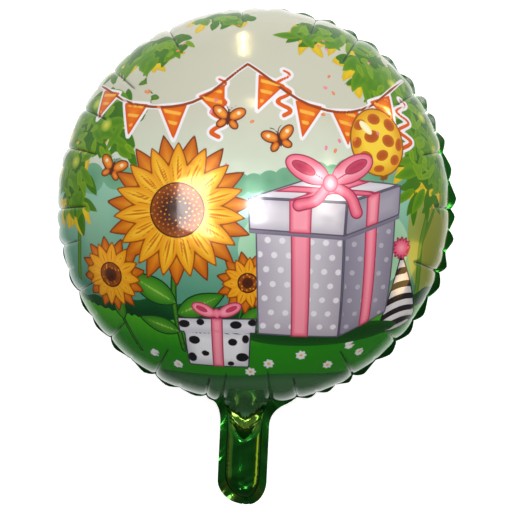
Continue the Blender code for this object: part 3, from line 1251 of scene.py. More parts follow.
@dataclass
class Paper:
    """Places on the flat printed sheet, in millimetres from a point of it, with Y up the print.

    Its methods return how far inside a shape each place is, in millimetres. Outside is negative.
    """

    x: Array
    y: Array

    def at(self, x: float, y: float, turn: float = 0.0) -> "Paper":
        """The same places from another point, with the axes turned by so many degrees.

        Args:
            x: The other point, along X.
            y: The other point, along Y.
            turn: The turn, in degrees.

        Returns:
            The places, as seen from there.
        """
        cosine, sine = math.cos(math.radians(turn)), math.sin(math.radians(turn))
        right, up = self.x - x, self.y - y
        return Paper(right * cosine + up * sine, up * cosine - right * sine)

    def disc(self, radius: float) -> Array:
        """A round spot."""
        return radius - np.hypot(self.x, self.y)

    def oval(self, wide: float, high: float) -> Array:
        """An ellipse of these half sizes.

        Args:
            wide: Half its width.
            high: Half its height.

        Returns:
            How far inside it each place is.
        """
        share = np.hypot(self.x / wide, self.y / high) + 1e-6
        pull = np.hypot(self.x / wide ** 2, self.y / high ** 2) + 1e-6
        return (1.0 - share) * share / pull

    def polygon(self, corners: Points) -> Array:
        """A closed outline of straight sides.

        Args:
            corners: Its corners, in order.

        Returns:
            How far inside it each place is.
        """
        nearest = np.full_like(self.x, np.inf)
        inside = np.zeros(self.x.shape, dtype=bool)
        for (ax, ay), (bx, by) in zip(corners, corners[1:] + corners[:1]):
            nearest = np.minimum(nearest, self.from_line(ax, ay, bx, by)[0])
            crosses = (ay > self.y) != (by > self.y)
            rise = by - ay if by != ay else 1e-9
            inside ^= crosses & (self.x < ax + (bx - ax) * (self.y - ay) / rise)
        return np.where(inside, nearest, -nearest)

    def dots(self, pitch: float, radius: float) -> Array:
        """Staggered rows of round spots.

        Args:
            pitch: Distance between rows, and between spots.
            radius: Radius of a spot.

        Returns:
            How far inside it each place is.
        """
        row = np.floor(self.y / pitch)
        across = (self.x / pitch + 0.5 * (row % 2.0)) % 1.0 - 0.5
        return radius - pitch * np.hypot(across, self.y / pitch - row - 0.5)

    def from_line(self, ax: float, ay: float, bx: float, by: float) -> tuple[Array, Array]:
        """Distance from a straight line, and the share of the line's length that is nearest.

        Args:
            ax, ay: Where the line starts.
            bx, by: Where it ends.

        Returns:
            The distance and the share for each place.
        """
        long = (bx - ax) ** 2 + (by - ay) ** 2 + 1e-9
        share = np.clip(((self.x - ax) * (bx - ax) + (self.y - ay) * (by - ay)) / long, 0.0, 1.0)
        return np.hypot(self.x - ax - (bx - ax) * share, self.y - ay - (by - ay) * share), share

    def stroke(self, points: Points, start: float, end: float) -> Array:
        """A line through these points, rounded between them, whose half width runs from start to end.

        Args:
            points: Where the line runs.
            start: Half its width at its start.
            end: Half its width at its end.

        Returns:
            How far inside it each place is.
        """
        path = bend(points)
        widths = np.linspace(start, end, len(path))
        parts = []
        for a, b, wide, after in zip(path[:-1], path[1:], widths[:-1], widths[1:]):
            distance, share = self.from_line(*a, *b)
            parts.append(wide + (after - wide) * share - distance)
        return joined(*parts)

    def leaf(self, length: float, wide: float) -> Array:
        """A pointed leaf that grows from the point along X.

        Args:
            length: Its length.
            wide: Half its width.

        Returns:
            How far inside it each place is.
        """
        share = np.clip(self.x / length, 0.0, 1.0)
        half = wide * np.sin(math.pi * share ** 0.8) ** 0.9
        past = np.maximum(np.maximum(-self.x, self.x - length), 0.0)
        return 0.9 * (half - np.abs(self.y)) - past

    def petals(self, count: int, start: float, length: float, wide: float, turn: float = 0.0) -> Array:
        """A ring of pointed petals.

        Args:
            count: How many petals.
            start: Where they start, from the point.
            length: Length of a petal.
            wide: Half its width.
            turn: Bearing of the first, in degrees.

        Returns:
            How far inside it each place is.
        """
        slot = 2.0 * math.pi / count
        angle = np.arctan2(self.y, self.x) - math.radians(turn)
        angle = (angle + 0.5 * slot) % slot - 0.5 * slot
        away = np.hypot(self.x, self.y)
        return Paper(away * np.cos(angle) - start, away * np.sin(angle)).leaf(length, wide)

    def spray(self, count: int, length: float, wide: float, fan: Span, spread: Span, seed: int) -> Array:
        """A tuft of leaves that point between two bearings, from places spread round the point.

        Args:
            count: How many leaves.
            length: Their mean length.
            wide: Half their mean width.
            fan: The two bearings, in degrees.
            spread: How far the places are spread.
            seed: Which of the tufts.

        Returns:
            How far inside it each place is.
        """
        draw = np.random.default_rng(seed)
        leaves = []
        for _ in range(count):
            place = draw.uniform(-1.0, 1.0, 2) * spread
            long = length * draw.uniform(0.7, 1.25)
            leaves.append(self.at(*place, draw.uniform(*fan)).leaf(long, wide * draw.uniform(0.8, 1.2)))
        return joined(*leaves)


def bend(points: Points, parts: int = 6) -> Array:
    """A rounded path through the points, with so many parts between each two.

    Args:
        points: What the path runs through.
        parts: How many parts.

    Returns:
        The path's points.
    """
    given = np.array(points, dtype=float)
    if len(given) < 3:
        return given
    given = np.vstack((2 * given[0] - given[1], given, 2 * given[-1] - given[-2]))
    path = []
    for a, b, c, d in zip(given[:-3], given[1:-2], given[2:-1], given[3:]):
        for step in np.arange(parts) / parts:
            path.append(0.5 * (2 * b + (c - a) * step + (2 * a - 5 * b + 4 * c - d) * step ** 2
                               + (3 * b - a - 3 * c + d) * step ** 3))
    path.append(given[-2])
    return np.array(path)


Layer = tuple[str, Ink, Array]


@dataclass(frozen=True)
class Scenery:
    """Sky, hills, lawn and leaves of the printed garden.

    Each tuft of the foliage has its place, its count and length of leaves, the bearings that they point
    between, and how far they are spread.
    """

    foliage: tuple[tuple, ...] = (
        (-146, 76, 34, 26.0, (170, 350), (36, 30)), (-170, 22, 18, 24.0, (200, 330), (18, 28)),
        (140, 96, 52, 26.0, (190, 370), (46, 40)), (162, 40, 30, 24.0, (190, 330), (26, 34)),
        (112, 122, 20, 22.0, (180, 330), (26, 16)), (84, 160, 24, 22.0, (180, 340), (48, 13)),
        (-104, 146, 24, 22.0, (200, 350), (44, 14)), (-30, 180, 9, 16.0, (210, 330), (26, 7)))
    leaf_width: float = 4.6
    fleck_radius: float = 6.5

    def layers(self, paper: Paper) -> list[Layer]:
        """The inks from back to front.

        Args:
            paper: The printed sheet.

        Returns:
            Name, ink and shape of each layer.
        """
        x, y = paper.x, paper.y
        hill_top = 22.0 + 3.0 * np.sin(x / 29.0) + 1.5 * np.sin(x / 11.0 + 1.0)
        bushes = [paper.at(place, 20.0 + 5.0 * math.sin(place)).disc(9.0 + 5.0 * math.cos(1.7 * place))
                  for place in range(-170, 175, 13)]
        hedge = -84.0 + 1.6 * np.sin(x / 5.0) + 2.5 * np.sin(x / 21.0)
        grass = -98.0 + 2.2 * np.abs((x / 4.0 + 0.5 * np.sin(x / 9.0)) % 2.0 - 1.0) + 3.0 * np.sin(x / 40.0)
        under = -153.0 - 0.0008 * x ** 2 + 1.2 * np.sin(x / 17.0)
        return [
            ("haze", Ink((205, 204, 186), (214, 226, 206), 60.0), 78.0 - y),
            ("hills", Ink((158, 208, 184), (84, 148, 122), 95.0), hill_top - y),
            ("bushes", Ink((120, 176, 142), (104, 162, 126), 10.0), joined(*bushes)),
            ("lit_hill", Ink((170, 214, 178), (140, 196, 158), 30.0), paper.at(60.0, -38.0).oval(74.0, 46.0)),
            ("right_bush", Ink((150, 168, 84), (142, 150, 56), 22.0),
             paper.at(178.0, -26.0).oval(46.0, 66.0)),
            ("trunks", Ink((70, 116, 28), (102, 146, 40), 2.5), self.trunks(paper)),
            ("hedge", Ink((18, 84, 36), (8, 62, 26), 12.0), hedge - y),
            ("lawn", Ink((74, 168, 30), (36, 134, 18), 26.0), grass - y),
            ("leaf_glow", Ink((214, 180, 20), (232, 198, 34), 3.0), self.canopy(paper, -3.5, 41)),
            ("leaf_shade", Ink((66, 122, 4), (52, 108, 0), 9.0),
             joined(self.canopy(paper, 2.0, 43), self.masses(paper))),
            ("leaf", Ink((104, 152, 4), (76, 134, 0), 3.5), self.canopy(paper, 0.0, 42)),
            ("leaf_light", Ink((124, 166, 12), (102, 150, 6), 2.5), self.canopy(paper, 1.0, 44, 0.62)),
            ("sun_flecks", Ink((112, 158, 10), (226, 222, 84), 6.5), self.flecks(paper)),
            ("rim_shade", Ink((34, 96, 40), (66, 112, 70), 10.0), under - y),
        ]

    def trunks(self, paper: Paper) -> Array:
        """Thin trunks and a hanging vine.

        Args:
            paper: The printed sheet.

        Returns:
            How far inside it each place is.
        """
        return joined(paper.stroke([(152, -92), (148, -40), (156, 0), (150, 44)], 3.4, 1.8),
                      paper.stroke([(149, -34), (166, 0), (170, 40)], 2.0, 1.2),
                      paper.stroke([(-168, -70), (-160, -20), (-166, 30)], 3.0, 1.8),
                      paper.stroke([(-92, 132), (-96, 108), (-88, 92), (-94, 74)], 0.9, 0.7),
                      paper.at(-95, 108, 200).leaf(9, 2.6), paper.at(-89, 92, -20).leaf(9, 2.6),
                      paper.at(-94, 76, 230).leaf(10, 2.6))

    def canopy(self, paper: Paper, shift: float, seed: int, share: float = 1.0) -> Array:
        """Tufts of leaves at the left, at the right and along the top.

        Args:
            paper: The printed sheet.
            shift: How far the tufts are moved.
            seed: Which of their layers.
            share: Share of the full count and size of the leaves.

        Returns:
            How far inside it each place is.
        """
        tufts = []
        for number, (x, y, count, length, fan, spread) in enumerate(self.foliage):
            place = paper.at(x + shift, y + 0.6 * shift)
            tufts.append(place.spray(round(count * share), length * share, self.leaf_width * share, fan,
                                     spread, seed * 10 + number))
        return joined(*tufts)

    def masses(self, paper: Paper) -> Array:
        """The ragged shade behind the tufts of leaves."""
        ragged = 2.2 * np.sin(paper.x / 3.1 + 2.0 * np.sin(paper.y / 7.0)) + 1.8 * np.sin(paper.y / 2.7)
        return ragged + joined(*[paper.at(x, y + 4.0).oval(0.95 * spread[0], 0.95 * spread[1])
                                 for x, y, _, _, _, spread in self.foliage])

    def flecks(self, paper: Paper) -> Array:
        """Soft spots of sunlight on the leaves."""
        return joined(*[paper.at(x, y).disc(self.fleck_radius) for x, y in
                        ((128, 112), (160, 84), (118, 76), (172, 52), (-150, 96), (-132, 70), (-168, 40))])


@dataclass(frozen=True)
class Blooms:
    """Big golden flowers with their stems and leaves. Each head's seeds have a count and a pace."""

    heads: tuple[Span, ...] = ((-64, -6), (-126, -62), (-6, -66))
    seed_rings: tuple[tuple[int, float], ...] = ((96, 2.2), (34, 1.8), (22, 1.6))
    first_seed: int = 10
    seed_turn: float = 137.5
    seed_radius: float = 0.85

    def layers(self, paper: Paper) -> list[Layer]:
        """The inks from back to front.

        Args:
            paper: The printed sheet.

        Returns:
            Name, ink and shape of each layer.
        """
        head, low, small = hearts = [paper.at(x, y) for x, y in self.heads]
        stems = joined(paper.stroke([(-64, -30), (-68, -80), (-62, -128)], 2.8, 2.4),
                       paper.stroke([(-126, -70), (-118, -104), (-106, -136)], 2.0, 1.8),
                       paper.stroke([(-6, -70), (-14, -100), (-18, -130)], 1.8, 1.6))
        leaves = joined(paper.at(-66, -84, 150).leaf(52, 11), paper.at(-66, -94, 24).leaf(46, 10),
                        paper.at(-64, -110, 162).leaf(40, 8), paper.at(-118, -104, 100).leaf(30, 7),
                        paper.at(-14, -104, 40).leaf(30, 7))
        veins = joined(paper.at(-66, -84, 150).leaf(46, 0.9), paper.at(-66, -94, 24).leaf(41, 0.9),
                       paper.at(-64, -110, 162).leaf(35, 0.8))
        back = joined(head.petals(15, 16, 48, 9.0, 5), low.petals(12, 8, 27, 6.2, 8),
                      small.petals(11, 6, 21, 5.2, 3))
        front = joined(head.petals(15, 14, 43, 8.6, 17), low.petals(12, 7, 23, 5.8, 23),
                       small.petals(11, 5, 17, 4.8, 19))
        folds = joined(head.petals(15, 22, 28, 0.9, 17), head.petals(30, 22, 20, 0.7, 12.5),
                       low.petals(12, 11, 15, 0.7, 23), small.petals(11, 9, 11, 0.6, 19))
        heart = joined(head.disc(23.0), low.disc(11.5), small.disc(8.5))
        bowl = joined(head.disc(13.0), low.disc(6.0), small.disc(4.5))
        return [
            ("stems", Ink((40, 110, 24), (96, 156, 40), 2.6, (22, 66, 18), 0.8), stems),
            ("leaves", Ink((46, 122, 26), (96, 166, 44), 9.0, (20, 64, 18), 0.9), leaves),
            ("veins", flat_ink((150, 196, 86)), veins),
            ("petals_back", Ink((196, 92, 14), (232, 142, 28), 6.0, (116, 54, 14), 0.9), back),
            ("petals_front", Ink((238, 152, 18), (253, 202, 52), 5.5, (150, 78, 14), 0.9), front),
            ("folds", flat_ink((214, 118, 16)), folds),
            ("heart", Ink((150, 74, 20), (108, 50, 18), 7.0, (78, 36, 14), 1.0), heart),
            ("bowl", Ink((84, 38, 16), (58, 26, 14), 6.0), bowl),
            ("seeds", Ink((226, 138, 34), (236, 160, 52), 1.0), self.seeds(hearts)),
        ]

    def seeds(self, hearts: list[Paper]) -> Array:
        """Seeds on a spiral in each flower's heart.

        Args:
            hearts: The printed sheet from each flower's middle.

        Returns:
            How far inside it each place is.
        """
        spots = []
        for heart, (count, pace) in zip(hearts, self.seed_rings):
            for number in range(self.first_seed, count):
                turn, away = math.radians(self.seed_turn * number), pace * math.sqrt(number)
                spots.append(heart.at(away * math.cos(turn), away * math.sin(turn)).disc(self.seed_radius))
        return joined(*spots)


@dataclass(frozen=True)
class Presents:
    """A big lilac box with a pink bow, and a small white one with black spots."""

    front: Points = ((2, -110), (72, -116), (74, -8), (0, -4))
    flank: Points = ((72, -116), (116, -96), (120, 6), (74, -8))
    lid_front: Points = ((-5, -22), (74, -28), (76, 0), (-6, 4))
    lid_flank: Points = ((74, -28), (123, -10), (125, 16), (76, 0))
    lid_top: Points = ((-6, 4), (76, 0), (125, 16), (50, 22))
    lid_shade: Points = ((-5, -22), (74, -28), (74, -22), (-5, -16))
    flank_shade: Points = ((74, -28), (123, -10), (123, -4), (74, -22))

    def layers(self, paper: Paper) -> list[Layer]:
        """The inks from back to front.

        Args:
            paper: The printed sheet.

        Returns:
            Name, ink and shape of each layer.
        """
        band = joined(shared(paper.polygon([(30, -113), (45, -114), (46, 4), (29, 4)]), -4.0 - paper.y),
                      paper.polygon([(90, -108), (100, -103), (103, 9), (92, 5)]))
        lid_band = joined(paper.polygon([(28, -25), (46, -26), (47, 1.5), (28, 2.5)]),
                          paper.polygon([(92, -21), (103, -17), (105, 10), (93, 5.5)]),
                          paper.polygon([(28, 2.5), (47, 1.5), (98, 18), (82, 20)]),
                          paper.polygon([(93, 5.5), (105, 9.5), (30, 14), (14, 9)]))
        knot = paper.at(62, 16)
        loops = joined(knot.at(-19, 11, -28).oval(20, 10.5), knot.at(19, 12, 30).oval(20, 10.5))
        tails = joined(knot.stroke([(-2, -2), (-12, -14), (-26, -18)], 4.5, 5.5),
                       knot.stroke([(2, -2), (16, -10), (22, -24)], 4.5, 5.5))
        hollows = joined(knot.at(-22, 12.5, -28).oval(11, 4.6), knot.at(22, 14, 30).oval(11, 4.6))
        folds = joined(knot.stroke([(-4, 2), (-14, 8), (-26, 11)], 0.6, 0.4),
                       knot.stroke([(4, 2), (14, 8), (27, 12)], 0.6, 0.4), knot.oval(6.5, 5.5) - 5.0)
        return [
            ("box_shadow", Ink((22, 84, 22), (16, 70, 18), 8.0), paper.at(62, -112).oval(70, 11)),
            ("box_flank", Ink((140, 134, 154), (160, 154, 172), 16.0, BOX_LINE, 1.0),
             paper.polygon(self.flank)),
            ("box_front", Ink((178, 170, 184), (208, 202, 212), 26.0, BOX_LINE, 1.0),
             paper.polygon(self.front)),
            ("box_dots", Ink((186, 180, 194), (188, 182, 196), 1.0),
             shared(paper.at(0, 0, -3).dots(12.0, 2.3), paper.polygon(self.flank) - 2.0)),
            ("front_dots", Ink((234, 230, 238), (236, 232, 240), 1.0),
             shared(paper.at(0, 0, -3).dots(12.0, 2.6), paper.polygon(self.front) - 2.0)),
            ("ribbon", Ink((232, 96, 128), (255, 152, 172), 3.5, RIBBON_LINE, 0.8), band),
            ("lid_shade", Ink((120, 112, 132), (134, 126, 146), 3.0),
             joined(*[paper.at(0, -3).polygon(shade) for shade in (self.lid_shade, self.flank_shade)])),
            ("lid_flank", Ink((152, 146, 164), (170, 164, 180), 8.0, BOX_LINE, 1.0),
             paper.polygon(self.lid_flank)),
            ("lid_front", Ink((196, 188, 200), (220, 214, 222), 9.0, BOX_LINE, 1.0),
             paper.polygon(self.lid_front)),
            ("lid_top", Ink((214, 208, 218), (234, 228, 236), 7.0, BOX_LINE, 1.0),
             paper.polygon(self.lid_top)),
            ("lid_band", Ink((236, 104, 134), (255, 160, 178), 3.5, RIBBON_LINE, 0.8), lid_band),
            ("tails", Ink((226, 86, 118), (252, 140, 162), 4.0, BOW_LINE, 0.9), tails),
            ("loops", Ink((240, 108, 138), (255, 178, 192), 8.0, BOW_LINE, 0.9), loops),
            ("hollows", Ink((206, 70, 102), (190, 58, 90), 4.0, BOW_LINE, 0.6), hollows),
            ("bow_folds", flat_ink((176, 56, 88)), folds),
            ("knot", Ink((232, 96, 126), (255, 170, 186), 4.5, BOW_LINE, 0.9), knot.oval(6.5, 7.5)),
        ] + self.small_box(paper.at(-32, -120))

    def small_box(self, box: Paper) -> list[Layer]:
        """The white box with black spots.

        Args:
            box: The printed sheet from the box's middle.

        Returns:
            Name, ink and shape of each layer.
        """
        body = box.polygon([(-27, -24), (27, -24), (29, 14), (-29, 14)])
        lid = box.polygon([(-33, 10), (33, 10), (34, 24), (-34, 24)])
        whole = joined(body, lid)
        spots = joined(*[box.at(x, y).oval(wide, high) for x, y, wide, high in
                         ((-20, 3, 5, 4), (-23, -15, 4, 5), (-11, -10, 3.5, 3), (13, 2, 4, 3.5),
                          (21, -13, 5.5, 4.5), (11, -20, 3, 2.5), (24, 5, 3, 4), (-28, 18, 5, 3.5),
                          (-14, 20, 3.5, 3), (16, 18, 5, 3.5), (30, 20, 4, 3))])
        loops = joined(box.at(-11, 31, -24).oval(11, 5.6), box.at(11, 31, 24).oval(11, 5.6))
        return [
            ("white_box", Ink((202, 200, 210), (240, 238, 242), 9.0, DARK_LINE, 1.0), whole),
            ("spots", Ink((34, 30, 34), (24, 22, 26), 2.0), shared(spots, whole - 1.0)),
            ("lid_edge", flat_ink(DARK_LINE),
             shared(whole, 0.5 - np.abs(box.y - 10.0), 33 - np.abs(box.x))),
            ("small_ribbon", Ink((236, 104, 134), (255, 156, 174), 3.0, (150, 50, 80), 0.7),
             joined(shared(box.polygon([(-5, -24), (5, -24), (5, 24), (-5, 24)]), whole), loops,
                    box.at(0, 28).oval(4, 4.5))),
            ("small_hollows", flat_ink((196, 62, 94), 2.0),
             joined(box.at(-12.5, 31.8, -24).oval(5.5, 2.2), box.at(12.5, 31.8, 24).oval(5.5, 2.2))),
        ]


@dataclass(frozen=True)
class PartyThings:
    """Pennants, streamers, a spotted balloon, a striped hat, butterflies and confetti."""

    cords: tuple[Points, ...] = (((-152, 118), (-104, 86), (-52, 84), (-6, 118)),
                                 ((-6, 118), (44, 82), (92, 80), (146, 124)))
    flag_steps: tuple[float, ...] = (0.13, 0.34, 0.56, 0.78)
    flag: Points = ((-12, 1), (12, 1), (0, -29))
    scraps: int = 26
    scrap_seed: int = 77
    daisies: Points = ((-92, -136), (-70, -146), (12, -140), (40, -132), (66, -146), (96, -136),
                       (-4, -149), (84, -126))

    def layers(self, paper: Paper) -> list[Layer]:
        """The inks from back to front.

        Args:
            paper: The printed sheet.

        Returns:
            Name, ink and shape of each layer.
        """
        flags = self.pennants(paper)
        cords = joined(*[paper.stroke(cord, 1.2, 1.2) for cord in self.cords])
        curls = self.streamers(paper)
        orange = joined(flags, curls)
        stripes = shared(flags - 2.0, 1.6 - np.abs((paper.y + 0.25 * paper.x) % 9.0 - 4.5))
        flyers = [paper.at(20, 52, 15), paper.at(-122, 30, -20), paper.at(-22, 70, -8)]
        halves = [(fly, side) for fly in flyers for side in (-1, 1)]
        wings = joined(*[joined(fly.at(7 * side, 4, 35 * side).oval(8, 5),
                                fly.at(5 * side, -5, -40 * side).oval(5, 3.6)) for fly, side in halves])
        marks = joined(*[fly.at(8 * side, 5).disc(1.7) for fly, side in halves])
        feelers = [fly.stroke([(0, 5), (2 * side, 9), (5 * side, 11)], 0.45, 0.4) for fly, side in halves]
        bodies = joined(*[fly.oval(1.3, 6.5) for fly in flyers], *feelers)
        return [
            ("halo", Ink((240, 236, 242), (246, 244, 246), 2.0), joined(orange + 2.3, cords + 1.0)),
            ("orange", Ink((220, 84, 0), (244, 132, 8), 8.0), orange),
            ("cord", flat_ink((150, 66, 20)), cords),
            ("flag_stripes", Ink((250, 172, 56), (253, 190, 80), 1.5), stripes),
            ("wings", Ink((206, 96, 20), (246, 158, 52), 3.0, (100, 44, 20), 0.8), wings),
            ("marks", Ink((252, 216, 170), (252, 226, 190), 1.0), marks),
            ("bodies", flat_ink((92, 40, 18)), bodies),
        ] + self.spotted_balloon(paper) + self.striped_hat(paper) + self.confetti(paper)

    def pennants(self, paper: Paper) -> Array:
        """Pointed flags along the cords.

        Args:
            paper: The printed sheet.

        Returns:
            How far inside it each place is.
        """
        flags = []
        for cord in self.cords:
            path = bend(cord, 10)
            for step in self.flag_steps:
                spot = step * (len(path) - 1)
                low = int(spot)
                x, y = path[low] + (path[low + 1] - path[low]) * (spot - low)
                along = path[low + 1] - path[low]
                turn = 0.6 * math.degrees(math.atan2(along[1], along[0]))
                flags.append(paper.at(x, y, turn).polygon(self.flag))
        return joined(*flags)

    def streamers(self, paper: Paper) -> Array:
        """Curly paper streamers.

        Args:
            paper: The printed sheet.

        Returns:
            How far inside it each place is.
        """
        curls = []
        for x, y, wide, fall, turns in ((-30, 104, 6.0, 50.0, 3.0), (24, 112, 5.5, 40.0, 2.5),
                                        (132, 96, 6.5, 48.0, 2.6)):
            steps = np.linspace(0.0, 1.0, 15)
            path = [(x + wide * math.sin(2 * math.pi * turns * step), y - fall * step) for step in steps]
            curls.append(paper.stroke(path, 1.0, 1.9))
        return joined(*curls)

    def spotted_balloon(self, paper: Paper) -> list[Layer]:
        """A yellow party balloon with orange-brown patches.

        Args:
            paper: The printed sheet.

        Returns:
            Name, ink and shape of each layer.
        """
        ball = paper.at(104, 52, 8)
        body = joined(ball.oval(25, 30), ball.polygon([(-4, -33), (4, -33), (0, -27)]))
        patches = joined(*[ball.at(x, y, turn).oval(wide, high) for x, y, turn, wide, high in
                           ((-14, 16, 20, 6, 4.5), (0, 20, -10, 6, 5), (14, 14, 30, 5, 6), (-19, 1, 60, 5, 4),
                            (-5, 5, 10, 7, 5.5), (10, 0, -30, 6, 5.5), (20, -4, 70, 6, 3.5),
                            (-13, -12, -30, 6, 5), (2, -12, 20, 6, 4.5), (13, -17, 50, 5, 4),
                            (-3, -23, 0, 5, 3))])
        return [
            ("string", flat_ink((120, 90, 60)),
             paper.stroke([(108, 20), (104, -2), (110, -24), (104, -40)], 0.6, 0.6)),
            ("ball", Ink((228, 158, 20), (252, 214, 62), 12.0, (140, 82, 16), 1.0), body),
            ("patches", Ink((200, 104, 22), (182, 84, 18), 3.0), shared(patches, body - 1.5)),
            ("ball_light", Ink((255, 240, 170), (255, 248, 214), 3.0), ball.at(-9, 13, 35).oval(3.2, 7.5)),
        ]

    def striped_hat(self, paper: Paper) -> list[Layer]:
        """A pointed party hat with black and white stripes.

        Args:
            paper: The printed sheet.

        Returns:
            Name, ink and shape of each layer.
        """
        hat = paper.at(134, -112, 6)
        cone = joined(hat.polygon([(-25, 0), (25, 0), (0, 72)]), shared(hat.oval(25, 7), -hat.y))
        stripes = 3.1 - np.abs((hat.y + 0.012 * hat.x ** 2 + 3.0) % 12.6 - 6.3)
        tuft = hat.at(0, 74)
        return [
            ("hat", Ink((206, 204, 212), (240, 238, 242), 8.0, (48, 44, 50), 1.1), cone),
            ("hat_stripes", Ink((26, 24, 28), (40, 36, 42), 3.0), shared(stripes, cone - 0.6)),
            ("tuft", Ink((238, 92, 128), (255, 160, 180), 5.0, (160, 50, 84), 0.8),
             joined(tuft.disc(7), tuft.petals(13, 4, 7, 1.9))),
        ]

    def confetti(self, paper: Paper) -> list[Layer]:
        """Scraps of paper in the sky and daisies on the lawn.

        Args:
            paper: The printed sheet.

        Returns:
            Name, ink and shape of each layer.
        """
        draw = np.random.default_rng(self.scrap_seed)
        scraps = [paper.at(*draw.uniform((-110, 30, 0), (110, 172, 180))).oval(2.2, 1.3)
                  for _ in range(self.scraps)]
        daisies = joined(*[paper.at(x, y).petals(7, 0.8, 4.8, 1.5) for x, y in self.daisies])
        hearts = joined(*[paper.at(x, y).disc(1.5) for x, y in self.daisies])
        return [
            ("scraps", Ink((232, 120, 60), (244, 150, 90), 1.0), joined(*scraps[::2])),
            ("pink_scraps", Ink((236, 120, 150), (246, 150, 176), 1.0), joined(*scraps[1::2])),
            ("daisies", Ink((226, 226, 232), (244, 244, 246), 1.5), daisies),
            ("daisy_hearts", Ink((244, 180, 40), (250, 200, 60), 1.0), hearts),
        ]


@dataclass(frozen=True)
class PrintEdge:
    """Where the print ends: at the seam round the rim, and in a ragged point on the neck. In metres."""

    drop: float = 0.0150
    middle: float = 0.0008
    slant: float = 0.72
    tooth: float = 0.0030
    pitch: float = 0.0034
    uneven_pitch: float = 0.0017
    wave: float = 0.0008
    wave_length: float = 0.0031
    margin: float = 0.002
    above: float = 0.02
    overlap: float = 0.0002

    def on_neck(self, x: Array, drop: Array) -> Array:
        """How far inside the print places near the neck lie.

        Args:
            x: Places across the neck.
            drop: Distances from the seam towards the tip.

        Returns:
            A distance in metres for each place.
        """
        teeth = np.abs((x / self.pitch + 0.3 * np.sin(x / self.uneven_pitch)) % 1.0 - 0.5) * 2.0
        limit = self.drop - self.slant * np.abs(x + self.middle) + self.tooth * (teeth - 0.5)
        return limit + self.wave * np.sin(x / self.wave_length) - drop

    def inside(self, places: Array, arc: Array, on_seal: Array,
               sheet: FoilSheet) -> Array:
        """How far inside the print each place is.

        Args:
            places: The front sheet's points.
            arc: Distance of each from the middle while the film is flat.
            on_seal: Whether each is on the seal.
            sheet: The front sheet's sizes.

        Returns:
            A distance in metres for each place.
        """
        x, drop = places[:, 0], -places[:, 1] - sheet.film.seam_radius
        near_neck = (np.abs(x) < 0.5 * sheet.neck.width + self.margin) & (drop > -self.above)
        inside = np.where(near_neck, self.on_neck(x, drop), sheet.film.flat_radius - arc + self.overlap)
        return np.where(on_seal, -self.margin, inside)


def linear(colour: Colour) -> tuple[float, float, float, float]:
    """A display colour from 0 to 255 as the linear colour that a shader takes."""
    shares = np.array(colour) / 255.0
    return (*np.where(shares <= 0.04045, shares / 12.92, ((shares + 0.055) / 1.055) ** 2.4), 1.0)


@dataclass(frozen=True)
class PrintedFilm:
    """Glossy inks on metallised film, with painted shade along the creases and the bare green film beyond the
    print's edge.
    """

    name: str = "printed_film"
    base: Colour = (205, 204, 186)
    feather: float = 0.22
    edge: Span = (-0.1, 0.1)
    metallic: float = 0.28
    roughness: float = 0.15
    coat: float = 0.5
    painted_crease_shade: Colour = (0.03, 0.05, 0.03)
    bare: GreenFilm = GreenFilm()

    def material(self, layers: list[Layer]) -> Finish:
        """Lay the inks over each other and make the finish.

        Args:
            layers: Name, ink and shape of each layer; the name is also that of the piece's attribute.

        Returns:
            The finish.
        """
        material, shader = new_finish(self.name, self.coat)
        tree, bare = material.node_tree, self.bare
        colour = linear(self.base)
        for name, ink, _ in layers:
            ramp = self.ramp(tree, name, ink)
            colour = laid_over(tree, ramp.outputs["Alpha"], colour, ramp.outputs["Color"])
        # Painted shade: the colour is multiplied by a dark tint along each crease line.
        crease = ranged(tree, attribute(tree, "crease"), (0.0, 1.0))
        colour = laid_over(tree, crease, colour, (*self.painted_crease_shade, 1.0), "MULTIPLY")
        mask = ranged(tree, attribute(tree, "printed"), self.edge)
        colour = laid_over(tree, mask, bare.lacquer(tree), colour)
        tree.links.new(colour, shader.inputs["Base Color"])
        tree.links.new(ranged(tree, mask, (0.0, 1.0), (1.0, self.metallic)), shader.inputs["Metallic"])
        roughness = ranged(tree, mask, (0.0, 1.0), (bare.roughness, self.roughness))
        roughness = reckon(tree, "MULTIPLY", roughness, bare.uneven.varied(tree, 1.0))
        tree.links.new(roughness, shader.inputs["Roughness"])
        bare.uneven.bend(tree, shader)
        return material

    def ramp(self, tree: Tree, name: str, ink: Ink) -> bpy.types.Node:
        """Spread an ink's colours across its shape: clear outside, then its line, its edge and its core.

        Args:
            tree: Its nodes.
            name: The attribute that says how far inside the shape each place is.
            ink: The ink.

        Returns:
            The colour ramp.
        """
        low = -self.feather
        line_width = ink.line_width if ink.line else 0.0
        high = line_width + ink.spread
        ramp = tree.nodes.new("ShaderNodeValToRGB")
        tree.links.new(ranged(tree, attribute(tree, name), (low, high)), ramp.inputs["Fac"])
        rim = linear(ink.line or ink.edge)[:3]
        stops = [(low, (*rim, 0.0)), (self.feather, (*rim, 1.0))]
        if ink.line:
            stops += [(line_width, (*rim, 1.0)), (line_width + 2.0 * self.feather, linear(ink.edge))]
        stops.append((high, linear(ink.core)))
        places = ramp.color_ramp.elements
        for index, (distance, shade) in enumerate(stops):
            spot = min((distance - low) / (high - low), 1.0)
            stop = places[index] if index < 2 else places.new(spot)
            stop.position = spot
            stop.color = shade
        return ramp


